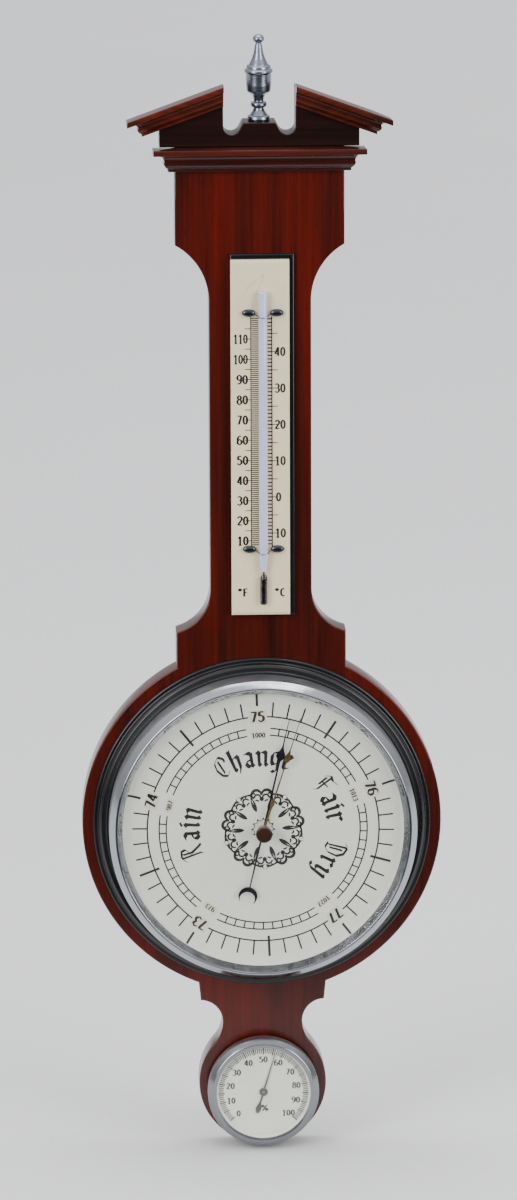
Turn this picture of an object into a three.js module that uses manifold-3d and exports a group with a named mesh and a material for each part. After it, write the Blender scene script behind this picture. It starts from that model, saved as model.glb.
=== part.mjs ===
// A banjo shaped wall barometer with a thermometer in its neck and a hygrometer in its foot.
// Millimetres. X to the right, Y into the wall, Z up. The front of the barometer faces -Y.
// The origin is where the wall screw bears in the hanger plate, on the plane of the wall.
import * as THREE from "three";
import { mergeVertices } from "three/addons/utils/BufferGeometryUtils.js";
import Module from "manifold-3d";

const wasm = await Module();
wasm.setup();

// Fits and fineness
const SEAT = 0.02; // film of glue or lacquer between faces that lie on each other
const RUN = 0.08; // radial play of a pivot in its hole
const PLAY = 0.3; // radial play of one turned shell inside another
const RING_SIDES = 40; // facets round the large turned rings
const SMALL_SIDES = 24; // facets round the small instrument
const KNOB_SIDES = 14; // facets round knobs, hubs and the finial
const PIN_SIDES = 8; // facets round pins, screws and pivots

// Back board. Heights are measured from the axis of the dial.
const BOARD_THICK = 19;
const BOARD_EDGE = 0.7; // softened front and back arris
const BODY_R = 111.9; // round body
const BLOCK_HALF = 51.8; // square block under the cornice
const BLOCK_TOP = 424.6;
const BLOCK_BOTTOM = 364;
const NECK_HALF = 31.3;
const COVE_HIGH = 35; // hollow between the top block and the neck
const SHOULDER_HALF = 52.5;
const SHOULDER_TOP = 123.5;
const SHOULDER_COVE = 26.8; // hollow between the neck and the shoulder
const FOOT_HALF = 39.8; // square block under the body
const FOOT_BOTTOM = -116;
const WAIST_HALF = 24.9;
const WAIST_Z = -130.3;
const LOBE_R = 39.8; // round foot that carries the hygrometer
const LOBE_Z = -170;

// Cornice and pediment
const MOULD_OUT = 13.1; // how far the mouldings stand out
const CORNICE_HIGH = 14.5;
const CORNICE_FILLET = 4.6;
const RAKE_HIGH = 12.6; // measured square to the slope
const RAKE_FILLET = 4;
const RAKE_SLOPE = 20; // degrees
const RAKE_RIDGE = 471.4; // height at which the two slopes would meet
const QUIRK_IN = 4; // undercut behind the fillet
const QUIRK_DROP = 1.2;
const COVE_IN = 2.4;
const COVE_DROP = 3.2;
const ARRIS_OUT = 0.6; // small step between hollow and round
const MOULD_FOOT = 3.4; // projection left at the bottom
const FOOT_STEP = 0.5;
const FOOT_HIGH = 1.1;
const PANEL_THICK = 19;
const PANEL_HALF = 60.9;
const EAR_HALF = 67.6; // the panel widens behind the sloping mouldings
const EAR_COVER = 0.6; // how far the moulding hangs below the ear
const PANEL_BELOW = 3.2; // top of the panel under the top of the moulding
const GAP_HALF = 22; // half the opening of the broken pediment
const GAP_FLOOR = 431.3;
const GAP_CORNER_R = 5;
const PLINTH_HALF = 9.5;
const PLINTH_TOP = 439.2;

// Turned finial, radius and height above the plinth
const FINIAL_STUD_R = 2.5;
const FINIAL_STUD_LONG = 12;
const FINIAL_BASE_R = 7;
const FINIAL_CUP_R = 7.75;
const FINIAL_COLLAR_R = 8.55;
const FINIAL_BALL_R = 3.2;
const FINIAL_HIGH = 53.4;

// Hanger plate, let into the back of the top block
const HANGER_Z = 392; // height of the bearing point above the dial axis
const HANGER_WIDE = 42;
const HANGER_HIGH = 26;
const HANGER_THICK = 1.5;
const HANGER_HEAD_R = 5.2; // entry for the head of the wall screw
const HANGER_SLOT_R = 2.6; // half the width of the slot
const HANGER_DROP = 10; // from the bearing point down to the entry
const HANGER_SCREW_X = 16;
const HANGER_HOLLOW_DEEP = 9; // room behind the plate for the screw head
const HANGER_SCREW_LONG = 12;

// Thermometer
const BACKING_X = 1.1;
const BACKING_WIDE = 39.2;
const BACKING_BOTTOM = 132.6;
const BACKING_HIGH = 226.4;
const BACKING_THICK = 3;
const PLATE_X = -0.3;
const PLATE_WIDE = 36;
const PLATE_BOTTOM = 133.3;
const PLATE_HIGH = 222.5;
const PLATE_THICK = 3;
const PLATE_BEVEL = 1.6;
const TUBE_X = 1.3;
const TUBE_R = 2.8;
const TUBE_TOP = 336.7;
const TUBE_NECK_Z = 168; // where the stem narrows to the bulb
const BULB_R = 2.2;
const BULB_BOTTOM = 140.5;
const BULB_LONG = 20;
const BULB_WALL = 0.4;
const BORE_R = 0.55;
const LIQUID_R = 0.45;
const LIQUID_TOP = 262;
const CLIP_LOW_Z = 175.3;
const CLIP_HIGH_Z = 323.2;
const CLIP_REACH = 8.6; // from the tube's axis to each pin
const CLIP_HEAD_LONG = 7.9;
const CLIP_HEAD_WIDE = 4.3;
const CLIP_HEAD_HIGH = 2;
const CLIP_HEAD_GAP = 1; // room for the wire under the head
const CLIP_PIN_R = 0.8;
const CLIP_PIN_LONG = 12;
const WIRE_R = 0.4;
const WIRE_SAG = 2.3;

// Barometer case, rings and glass
const BEZEL_R = 95.5;
const BEZEL_WALL = 0.9;
const LIP_Y = -46.9;
const FLANGE_PLAY = 0.4; // between the flange and the bezel that is pressed over it
const FLANGE_WIDE = 10.2;
const FLANGE_THICK = 1.1;
const CASE_WALL = 1.2;
const CASE_RECESS = 1; // case floor behind the wall plane
const RING_STEP = 1.1; // flat land of the ring outside the bezel
const RING_WIDE = 8.4; // from that land to the outer edge
const RING_HIGH = 6.2; // above the board
const GLASS_INSET = 3.6; // edge of the glass inside the bezel's outer face
const GLASS_THICK = 2;
const GLASS_LAP = 1.6; // how far the lip covers the glass
const REFLECTOR_WIDE = 3.4;
const REFLECTOR_FOOT = 1.6;
const REFLECTOR_THICK = 0.7;
const DIAL_Y = -37.7; // front of the dial
const DIAL_THICK = 0.7;
const DIAL_BEND_WIDE = 3.8; // from the flat of the dial to the rim of the case
const DIAL_COVE = 2.6; // how far the rim of the dial curls forward
const DIAL_BEND = 0.12; // share of that curl where the case carries the dial
const DIAL_HOLE_R = 3;
const SCREW_R = 1.4;
const SCREW_HEAD_R = 2.6;
const SCREW_HEAD_HIGH = 1.7;
const SCREW_LONG = 13;

// Aneroid movement
const BASE_THICK = 2;
const BASE_CORNER_R = 5;
const BASE_RIGHT = 8;
const BASE_HALF = 27;
const PLATE_GAUGE = 1.5; // the two movement plates
const PLATE_CORNER_R = 6;
const BACK_PLATE_Y = -23; // rear face
const FRONT_PLATE_Y = -32.6; // rear face
const PILLAR_R = 2.2;
const PILLAR_X = 6; // the two pillars beside the pinion
const PILLAR_Z = 23;
const PILLAR_CLEAR = 3.2; // between the capsule and the third pillar
const MODULE = 0.4;
const PINION_TEETH = 12;
const WHEEL_TEETH = 120; // teeth of the whole wheel that the sector is cut from
const SECTOR_TEETH = 15;
const PRESSURE_ANGLE = 25; // degrees
const TOOTH_THINNING = 0.03; // taken off each flank, for backlash
const SECTOR_ADDENDUM = 0.6; // in modules
const PINION_ADDENDUM = 0.8;
const SECTOR_DEDENDUM = 1.05;
const PINION_DEDENDUM = 0.85;
const SECTOR_Y = -28.8; // rear face of the sector
const SECTOR_THICK = 0.9;
const PINION_LONG = 2.6;
const ARBOR_R = 1.1;
const PIVOT_R = 0.8;
const HUB_R = 3.2;
const TAIL_LONG = 9; // from the sector's axis to its tail pin
const TAIL_PIN_R = 0.6;
const TAIL_PIN_LONG = 1.6; // behind the sector
const FINGER_WIDE = 1.6;
const FINGER_PLAY = 0.25; // free play in the two contacts of the linkage
const FINGER_CLEAR = 0.5; // from the finger's end to the sector
const TOE_LONG = 1.6; // behind the rocking shaft
const ROCKER_Y = -18.5;
const ROCKER_R = 1.25;
const ROCKER_HALF = 27; // half the length between the brackets
const SHORT_ARM = 4.5;
const BRACKET_THICK = 2.4;
const BRACKET_WIDE = 7;
const CAPSULE_R = 25;
const CAPSULE_RIM_Y = -9.6;
const CAPSULE_HALF_HIGH = 3.4;
const CAPSULE_WAVES = 3;
const CAPSULE_WAVE_HIGH = 0.9;
const CAPSULE_SEAT_R = 4.2;
const STUD_R = 2;
const STUD_HOLE_DEEP = 1.2;
const ADJUST_R = 1.6;
const ADJUST_HEAD_R = 3;
const ADJUST_HEAD_HIGH = 1.1;
const ADJUST_HOLE_R = 3.8;
const SPRING_TURNS = 4;
const SPRING_IN_R = 2.3;
const SPRING_OUT_R = 7.2;
const SPRING_THICK = 0.25;
const SPRING_WIDE = 0.8;
const SPRING_Y = -25.4; // rear edge of the hairspring

// Hands of the barometer
const PRESSURE_ANGLE_NOW = 13; // degrees clockwise from the top
const SET_ANGLE_NOW = 18;
const HAND_THICK = 0.4;
const HAND_Y = -39.9; // rear face of the pressure hand
const HAND_SHORT = 6.5; // from its tip to the bend of the dial
const HAND_SPADE = 50;
const HAND_TAIL = 43.6;
const CRESCENT_R = 5.9;
const CRESCENT_BITE_R = 4.7;
const CRESCENT_BITE_OUT = 1.9;
const HAND_HUB_R = 3.2;
const SET_Y = -42.1;
const SET_SHORT = 3.7;
const SET_LEAF = 49.7;
const SET_SMALL_LEAF = 18.7;
const KNOB_R = 5.1;
const KNOB_FRONT = -53.2;
const KNOB_SHAFT_R = 2;
const BUSH_R = 3.3;
const BUSH_FLANGE_R = 4.7;
const BUSH_FLANGE = 0.7;

// Hygrometer
const HYGRO_Z = -173.3;
const HYGRO_R = 34.9; // outside of the bezel
const HYGRO_WALL = 0.8;
const HYGRO_BACK_Y = -4;
const HYGRO_FLANGE_Y = -22.8; // rear face
const HYGRO_FLANGE_IN = 0.9; // edge of the flange inside the bezel's outer face
const HYGRO_FLANGE_WIDE = 5.2;
const HYGRO_LIP_Y = -32.4;
const HYGRO_GLASS_INSET = 3.5;
const HYGRO_GLASS_LAP = 2;
const HYGRO_GLASS_THICK = 1.5;
const HYGRO_DIAL_Y = -28;
const HYGRO_DIAL_THICK = 0.6;
const HYGRO_ARBOR_R = 0.7;
const HYGRO_BOSS_R = 2.2;
const HYGRO_HAND_SHORT = 3.4; // from its tip to the wall of the case
const HYGRO_TAIL_LONG = 14.6;
const HYGRO_HUB_R = 2.55;
const HYGRO_ANGLE_NOW = 16.3;
const HYGRO_TABS = 12;
const HYGRO_TAB_WIDE = 4.3;
const HYGRO_TAB_THICK = 0.9;
const HYGRO_VENTS = 4;
const HYGRO_VENT_R = 1.6;
const HYGRO_VENT_IN = 11.8; // from the wall of the case to the vents
const COIL_TURNS = 3;
const COIL_IN_R = 2;
const COIL_OUT_R = 11;
const COIL_THICK = 0.35;
const COIL_WIDE = 4;
const COIL_Y = -14;

// Colours, roughness and metalness of the real surfaces
const finishes = {
  mahogany: { color: 0x5f1c0b, roughness: 0.32, metalness: 0 },
  darkMahogany: { color: 0x3c1109, roughness: 0.35, metalness: 0 },
  blackLacquer: { color: 0x17181c, roughness: 0.3, metalness: 0 },
  chrome: { color: 0xc9ced4, roughness: 0.12, metalness: 1 },
  silver: { color: 0xaab0b8, roughness: 0.25, metalness: 1 },
  steel: { color: 0x8d8f92, roughness: 0.4, metalness: 1 },
  brass: { color: 0xb08d4a, roughness: 0.35, metalness: 1 },
  blued: { color: 0x22252c, roughness: 0.35, metalness: 0.8 },
  glass: { color: 0xe8eef0, roughness: 0.03, metalness: 0 },
  opal: { color: 0xdedff0, roughness: 0.08, metalness: 0 },
  mercury: { color: 0x4a4d52, roughness: 0.15, metalness: 1 },
  cream: { color: 0xd8cbb0, roughness: 0.45, metalness: 0 },
  dial: { color: 0xc6c6bc, roughness: 0.5, metalness: 0 },
};

// Shared tools

// Turns a closed geometry into a solid with its faces outwards.
function solid(geometry) {
  const bare = geometry.index ? geometry.toNonIndexed() : geometry.clone();
  bare.deleteAttribute("normal");
  bare.deleteAttribute("uv");
  const merged = mergeVertices(bare);
  const all = merged.index.array;
  const kept = [];
  for (let i = 0; i < all.length; i += 3) {
    const [a, b, c] = all.slice(i, i + 3);
    if (a !== b && b !== c && c !== a) kept.push(a, b, c);
  }
  const body = (triangles) =>
    new wasm.Manifold(
      new wasm.Mesh({
        numProp: 3,
        vertProperties: merged.attributes.position.array,
        triVerts: new Uint32Array(triangles),
      }),
    );
  const made = body(kept);
  return made.volume() > 0 ? made : body(kept.reverse());
}

function geometryOf(body) {
  const mesh = body.getMesh();
  const geometry = new THREE.BufferGeometry();
  geometry.setAttribute("position", new THREE.BufferAttribute(mesh.vertProperties, 3));
  geometry.setIndex(new THREE.BufferAttribute(mesh.triVerts, 1));
  const faceted = geometry.toNonIndexed();
  faceted.computeVertexNormals();
  return faceted;
}

const join = (...bodies) => bodies.reduce((all, next) => all.add(next));
const cut = (body, ...tools) => tools.reduce((left, tool) => left.subtract(tool), body);
const radians = THREE.MathUtils.degToRad;

// Points on an arc, with both ends, from one angle to another in degrees.
function arc(x, z, r, from, to, steps) {
  return Array.from({ length: steps + 1 }, (_, i) => {
    const angle = radians(from + ((to - from) * i) / steps);
    return [x + r * Math.cos(angle), z + r * Math.sin(angle)];
  });
}

// Adds the mirrored left half to a right half that runs from the top down.
function mirrored(half) {
  const left = half.filter(([x]) => x > 0).map(([x, z]) => [-x, z]);
  return [...half, ...left.reverse()];
}

const flat = (points) => new THREE.Shape(points.map(([x, z]) => new THREE.Vector2(x, z)));

// A plate cut to an outline seen from the front. It reaches forward from its back face.
function slab(points, back, thick, edge = 0) {
  const depth = thick - 2 * edge;
  const geometry = new THREE.ExtrudeGeometry(flat(points), {
    depth,
    bevelEnabled: edge > 0,
    bevelThickness: edge,
    bevelSize: edge,
    bevelOffset: -edge,
    bevelSegments: 1,
  });
  geometry.rotateX(Math.PI / 2);
  geometry.translate(0, back - edge, 0);
  return solid(geometry);
}

// A ring or disc turned about the Y axis, from radius and depth points.
function turned(points, sides, x = 0, z = 0) {
  const onAxis = points[0][0] === 0;
  const closed = onAxis ? points : [...points, points[0]];
  const profile = closed.map(([r, y]) => new THREE.Vector2(r, y));
  const geometry = new THREE.LatheGeometry(profile, sides);
  geometry.translate(x, 0, z);
  return solid(geometry);
}

// A piece turned about an upright axis, from radius and height points.
function turnedUpright(points, sides, x, y, z) {
  const closed = points[0][0] === 0 ? points : [...points, points[0]];
  const profile = closed.map(([r, h]) => new THREE.Vector2(r, h));
  const geometry = new THREE.LatheGeometry(profile, sides);
  geometry.rotateX(Math.PI / 2);
  geometry.translate(x, y, z);
  return solid(geometry);
}

// A round rod or hole along Y, between two depths.
function rod(r, from, to, x = 0, z = 0, sides = PIN_SIDES) {
  const geometry = new THREE.CylinderGeometry(r, r, Math.abs(to - from), sides);
  geometry.translate(x, (from + to) / 2, z);
  return solid(geometry);
}

// A round rod or hole along Z, between two heights.
function upright(r, from, to, x, y, sides = PIN_SIDES) {
  const geometry = new THREE.CylinderGeometry(r, r, Math.abs(to - from), sides);
  geometry.rotateX(Math.PI / 2);
  geometry.translate(x, y, (from + to) / 2);
  return solid(geometry);
}

function block(x0, x1, y0, y1, z0, z1) {
  const geometry = new THREE.BoxGeometry(x1 - x0, y1 - y0, z1 - z0);
  geometry.translate((x0 + x1) / 2, (y0 + y1) / 2, (z0 + z1) / 2);
  return solid(geometry);
}

// A rectangle with round corners, as outline points.
function roundRect(x0, x1, z0, z1, r, steps = 4) {
  return [
    ...arc(x1 - r, z1 - r, r, 0, 90, steps),
    ...arc(x0 + r, z1 - r, r, 90, 180, steps),
    ...arc(x0 + r, z0 + r, r, 180, 270, steps),
    ...arc(x1 - r, z0 + r, r, 270, 360, steps),
  ];
}

// The outline of a band stretched round equal discs, given anticlockwise.
function band(centres, r, steps = 4) {
  return centres.flatMap(([x, z], i) => {
    const [px, pz] = centres[(i + centres.length - 1) % centres.length];
    const [nx, nz] = centres[(i + 1) % centres.length];
    const from = THREE.MathUtils.radToDeg(Math.atan2(z - pz, x - px)) - 90;
    let to = THREE.MathUtils.radToDeg(Math.atan2(nz - z, nx - x)) - 90;
    while (to < from) to += 360;
    return arc(x, z, r, from, to, steps);
  });
}

// Twice the area inside an outline, negative where it runs clockwise.
function turning(points) {
  return points.reduce((sum, [p, d], i) => {
    const [q, e] = points[(i + 1) % points.length];
    return sum + p * e - q * d;
  }, 0);
}

// A straight piece between two outlines with the same corners, such as a mitred moulding.
function between(profile, placeA, placeB) {
  const corners = profile.length;
  const ends = [placeA, placeB].flatMap((place) => profile.map(([p, d]) => place(p, d)));
  const contour = profile.map(([p, d]) => new THREE.Vector2(p, d));
  const caps = THREE.ShapeUtils.triangulateShape(contour, []);
  const agree = turning(profile) * turning(caps[0].map((k) => profile[k])) > 0;
  const index = [];
  for (const cap of caps) {
    const [a, b, c] = agree ? cap : [...cap].reverse();
    index.push(a, b, c);
    index.push(corners + a, corners + c, corners + b);
  }
  for (let i = 0; i < corners; i++) {
    const next = (i + 1) % corners;
    index.push(i, corners + i, next);
    index.push(next, corners + i, corners + next);
  }
  const geometry = new THREE.BufferGeometry();
  geometry.setAttribute("position", new THREE.Float32BufferAttribute(ends.flat(), 3));
  geometry.setIndex(index);
  return solid(geometry);
}

// A round wire along a smooth curve through the given points.
function wire(points, r, steps, sides = 5) {
  const path = new THREE.CatmullRomCurve3(points.map((p) => new THREE.Vector3(...p)));
  const section = flat(arc(0, 0, r, 0, 360 - 360 / sides, sides - 1));
  const geometry = new THREE.ExtrudeGeometry(section, { steps, extrudePath: path });
  return solid(geometry);
}

// A flat spiral spring seen from the front, from its inner to its outer radius.
function spiral(inner, outer, turns, thick, back, wide, startAngle) {
  const steps = turns * 12;
  const side = (shift) =>
    Array.from({ length: steps + 1 }, (_, i) => {
      const r = inner + ((outer - inner) * i) / steps + shift;
      const angle = startAngle + (turns * 2 * Math.PI * i) / steps;
      return [r * Math.cos(angle), r * Math.sin(angle)];
    });
  return slab([...side(thick / 2), ...side(-thick / 2).reverse()], back, wide);
}

// Turns a piece clockwise, as seen from the front, about the Y axis.
function clockwise(body, degrees) {
  const geometry = geometryOf(body);
  geometry.rotateY(radians(degrees));
  return solid(geometry);
}

const moved = (body, x, y, z) => body.translate([x, y, z]);

const barometer = new THREE.Group();
const onDialAxis = new THREE.Group();
onDialAxis.position.z = -HANGER_Z;
barometer.add(onDialAxis);

// Adds one named piece. Every piece below is modelled about the axis of the dial.
function piece(name, body, finish) {
  const material = new THREE.MeshStandardMaterial(finishes[finish]);
  const mesh = new THREE.Mesh(geometryOf(body), material);
  mesh.name = name;
  onDialAxis.add(mesh);
}

// Places that several pieces share
const boardFront = -BOARD_THICK;
const backingFront = boardFront - SEAT - BACKING_THICK;
const plateFront = backingFront - SEAT - PLATE_THICK;
const tubeY = plateFront - SEAT - TUBE_R;
const ringFront = boardFront - SEAT - RING_HIGH;
const flangeRear = ringFront - SEAT;
const flangeFront = flangeRear - FLANGE_THICK;
const flangeR = BEZEL_R - BEZEL_WALL - FLANGE_PLAY;
const caseR = flangeR - FLANGE_WIDE;
const caseInnerR = caseR - CASE_WALL;
const screwCircleR = (caseR + flangeR) / 2;
const landR = BEZEL_R + RING_STEP;
const ringR = landR + RING_WIDE;
const glassR = BEZEL_R - GLASS_INSET;
const lipR = glassR - GLASS_LAP;
const reflectorR = lipR - REFLECTOR_WIDE;
const dialFlatR = caseInnerR - DIAL_BEND_WIDE;
const dialR = reflectorR + REFLECTOR_FOOT - 0.1;
const caseFloorRear = -CASE_RECESS;
const caseFloorFront = caseFloorRear - CASE_WALL;
const baseRear = caseFloorFront - SEAT;
const baseFront = baseRear - BASE_THICK;
const dialRear = DIAL_Y + DIAL_THICK;
const glassFront = LIP_Y + BEZEL_WALL + SEAT;
const glassRear = glassFront + GLASS_THICK;
const pinionR = (MODULE * PINION_TEETH) / 2;
const sectorR = (MODULE * WHEEL_TEETH) / 2;
const sectorX = -(pinionR + sectorR);
const rockerX = sectorX - TAIL_PIN_R - FINGER_WIDE / 2 - FINGER_PLAY;
const capsuleX = rockerX - SHORT_ARM;
const backPlateFront = BACK_PLATE_Y - PLATE_GAUGE;
const frontPlateFront = FRONT_PLATE_Y - PLATE_GAUGE;
const pillars = [
  [PILLAR_X, PILLAR_Z],
  [PILLAR_X, -PILLAR_Z],
  [capsuleX - CAPSULE_R - PILLAR_CLEAR - PILLAR_R, 0],
];
const capsuleRear = CAPSULE_RIM_Y + CAPSULE_HALF_HIGH;
const capsuleFront = CAPSULE_RIM_Y - CAPSULE_HALF_HIGH;
const adjustHeadFront = baseRear - ADJUST_HEAD_HIGH;
const toeEnd = ROCKER_Y + ROCKER_R + TOE_LONG;
const springStudR = 0.5;
const springEndX = SPRING_OUT_R + SPRING_THICK / 2 + springStudR + 0.25;
const hangerScrewZ = HANGER_Z - HANGER_DROP / 2;
const hangerTop = hangerScrewZ + HANGER_HIGH / 2;
const hangerBottom = hangerTop - HANGER_HIGH;
const pinEnd = plateFront + CLIP_PIN_LONG;
const hygroFlangeR = HYGRO_R - HYGRO_FLANGE_IN;
const hygroCaseR = hygroFlangeR - HYGRO_FLANGE_WIDE;
const hygroGlassR = HYGRO_R - HYGRO_GLASS_INSET;
const hygroLipR = hygroGlassR - HYGRO_GLASS_LAP;
const hygroFloorFront = HYGRO_BACK_Y - HYGRO_WALL;
const hygroFlangeFront = HYGRO_FLANGE_Y - HYGRO_WALL;
const hygroDialRear = HYGRO_DIAL_Y + HYGRO_DIAL_THICK;
const hygroGlassFront = HYGRO_LIP_Y + HYGRO_WALL + SEAT;
const hygroGlassRear = hygroGlassFront + HYGRO_GLASS_THICK;
const coilStudR = 0.7;
const coilEndX = COIL_OUT_R + COIL_THICK / 2 + coilStudR + 0.25;
const clipPins = [
  ["lower_left", TUBE_X - CLIP_REACH, CLIP_LOW_Z],
  ["lower_right", TUBE_X + CLIP_REACH, CLIP_LOW_Z],
  ["upper_left", TUBE_X - CLIP_REACH, CLIP_HIGH_Z],
  ["upper_right", TUBE_X + CLIP_REACH, CLIP_HIGH_Z],
];
const caseScrews = [90, 210, 330].map((angle) => [
  screwCircleR * Math.cos(radians(angle)),
  screwCircleR * Math.sin(radians(angle)),
]);

// Back board

// Radius of a hollow that starts upright and reaches a corner so far out and so far along.
const hollowR = (out, along) => (out * out + along * along) / (2 * out);

function boardOutline() {
  const upperR = hollowR(BLOCK_HALF - NECK_HALF, COVE_HIGH);
  const lowerR = hollowR(SHOULDER_HALF - NECK_HALF, SHOULDER_COVE);
  const footR = hollowR(FOOT_HALF - WAIST_HALF, FOOT_BOTTOM - WAIST_Z);
  const degrees = (sine) => THREE.MathUtils.radToDeg(Math.asin(sine));
  const upperTurn = degrees(COVE_HIGH / upperR);
  const lowerTurn = degrees(SHOULDER_COVE / lowerR);
  const footTurn = degrees((FOOT_BOTTOM - WAIST_Z) / footR);
  const shoulderTurn = THREE.MathUtils.radToDeg(Math.acos(SHOULDER_HALF / BODY_R));
  const footBodyTurn = THREE.MathUtils.radToDeg(Math.acos(FOOT_HALF / BODY_R));
  // The reverse curve under the waist touches the round foot from outside.
  const drop = WAIST_Z - LOBE_Z;
  const reverseR = (WAIST_HALF ** 2 + drop ** 2 - LOBE_R ** 2) / (2 * (LOBE_R - WAIST_HALF));
  const reverseTurn = THREE.MathUtils.radToDeg(Math.atan2(drop, WAIST_HALF + reverseR));
  return mirrored([
    [BLOCK_HALF, BLOCK_TOP],
    ...arc(NECK_HALF + upperR, BLOCK_BOTTOM - COVE_HIGH, upperR, 180 - upperTurn, 180, 5),
    ...arc(NECK_HALF + lowerR, SHOULDER_TOP + SHOULDER_COVE, lowerR, 180, 180 + lowerTurn, 5),
    ...arc(0, 0, BODY_R, shoulderTurn, -footBodyTurn, 16),
    ...arc(WAIST_HALF + footR, WAIST_Z, footR, 180 - footTurn, 180, 4),
    ...arc(WAIST_HALF + reverseR, WAIST_Z, reverseR, 180, 180 + reverseTurn, 3).slice(1),
    ...arc(0, LOBE_Z, LOBE_R, reverseTurn, -90, 10).slice(1),
  ]);
}

function caseBoard() {
  const hollow = join(
    slab(
      roundRect(
        -HANGER_WIDE / 2 - PLAY,
        HANGER_WIDE / 2 + PLAY,
        hangerBottom - PLAY,
        hangerTop + PLAY,
        2,
        2,
      ),
      1,
      1 + HANGER_THICK + SEAT,
    ),
    slab(
      band(
        [
          [0, HANGER_Z - HANGER_DROP],
          [0, HANGER_Z],
        ],
        HANGER_HEAD_R + 1,
      ),
      0.5,
      0.5 + HANGER_HOLLOW_DEEP,
    ),
  );
  const deep = boardFront - 1;
  const pinHoles = clipPins.map(([, x, z]) => rod(CLIP_PIN_R + RUN, deep, pinEnd + RUN, x, z));
  const screwEnd = flangeFront + SCREW_LONG;
  const screwHoles = caseScrews.map(([x, z]) => rod(SCREW_R + RUN, deep, screwEnd + RUN, x, z));
  const hangerHoles = [-1, 1].map((side) =>
    rod(SCREW_R + RUN, 1, -HANGER_SCREW_LONG - RUN, side * HANGER_SCREW_X, hangerScrewZ),
  );
  return cut(
    slab(boardOutline(), 0, BOARD_THICK, BOARD_EDGE),
    rod(caseR + PLAY, 1, deep, 0, 0, RING_SIDES),
    rod(hygroCaseR + PLAY, 1, deep, 0, HYGRO_Z, SMALL_SIDES),
    hollow,
    ...pinHoles,
    ...screwHoles,
    ...hangerHoles,
  );
}

// Hanger plate and its screws

function hangerPlate() {
  const outline = roundRect(-HANGER_WIDE / 2, HANGER_WIDE / 2, hangerBottom, hangerTop, 2, 2);
  const slot = band(
    [
      [0, HANGER_Z - HANGER_DROP],
      [0, HANGER_Z - HANGER_SLOT_R],
    ],
    HANGER_SLOT_R,
  );
  const holes = [-1, 1].map((side) => sunkScrew(side, RUN, 0.5, -3));
  return cut(
    slab(outline, 0, HANGER_THICK),
    slab(slot, 1, 4),
    rod(HANGER_HEAD_R, 1, -3, 0, HANGER_Z - HANGER_DROP, KNOB_SIDES),
    ...holes,
  );
}

// A countersunk screw, or with play its hole. Its cone has sides at 45 degrees.
function sunkScrew(side, play, rear, end) {
  const r = SCREW_R + play;
  const coneEnd = -HANGER_THICK + 0.3;
  return turned(
    [
      [0, rear],
      [r + rear - coneEnd, rear],
      [r, coneEnd],
      [r, end],
      [0, end],
    ],
    PIN_SIDES,
    side * HANGER_SCREW_X,
    hangerScrewZ,
  );
}

function hangerScrew(side) {
  const x = side * HANGER_SCREW_X;
  const z = hangerScrewZ;
  const slot = block(x - 3, x + 3, -0.5, 1, z - 0.35, z + 0.35);
  return cut(sunkScrew(side, 0, -0.05, -HANGER_SCREW_LONG), slot);
}

// Cornice and pediment

// Half section of the mouldings: how far it stands out, and how far down from its top.
function mouldingProfile(high, fillet) {
  const coveTop = fillet + QUIRK_DROP;
  const coveEnd = coveTop + COVE_DROP;
  const coveOut = MOULD_OUT - QUIRK_IN;
  const roundOut = coveOut - COVE_IN + ARRIS_OUT;
  const roundEnd = MOULD_FOOT + FOOT_STEP;
  const footTop = high - FOOT_HIGH;
  const steps = [0, 1, 2, 3, 4].map((i) => (i * Math.PI) / 8);
  const hollow = steps.map((t) => [
    coveOut - COVE_IN * Math.sin(t),
    coveEnd - COVE_DROP * Math.cos(t),
  ]);
  const round = steps.map((t) => [
    roundEnd + (roundOut - roundEnd) * Math.cos(t),
    coveEnd + (footTop - coveEnd) * Math.sin(t),
  ]);
  return [
    [0, 0],
    [MOULD_OUT, 0],
    [MOULD_OUT, fillet],
    ...hollow,
    ...round,
    [MOULD_FOOT, footTop],
    [MOULD_FOOT, high],
    [0, high],
  ];
}

const corniceEnd = (side) => (p, d) => [
  side * (BLOCK_HALF + SEAT + p),
  boardFront - SEAT - p,
  BLOCK_TOP - d,
];
const corniceBack = (side) => (p, d) => [side * (BLOCK_HALF + SEAT + p), 0, BLOCK_TOP - d];

const slope = Math.tan(radians(RAKE_SLOPE));
const rakeTop = (x) => RAKE_RIDGE - slope * x;
const plumb = 1 / Math.cos(radians(RAKE_SLOPE)); // a square distance seen upright
const panelFront = -PANEL_THICK;
const rakeInner = (side) => (p, d) => [
  side * GAP_HALF,
  panelFront - SEAT - p,
  rakeTop(GAP_HALF) - d * plumb,
];
const rakeMitre = (side) => (p, d) => {
  const x = EAR_HALF + SEAT + p;
  return [side * x, panelFront - SEAT - p, rakeTop(x) - d * plumb];
};
const rakeBack = (side) => (p, d) => {
  const x = EAR_HALF + SEAT + p;
  return [side * x, 0, rakeTop(x) - d * plumb];
};

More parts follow.
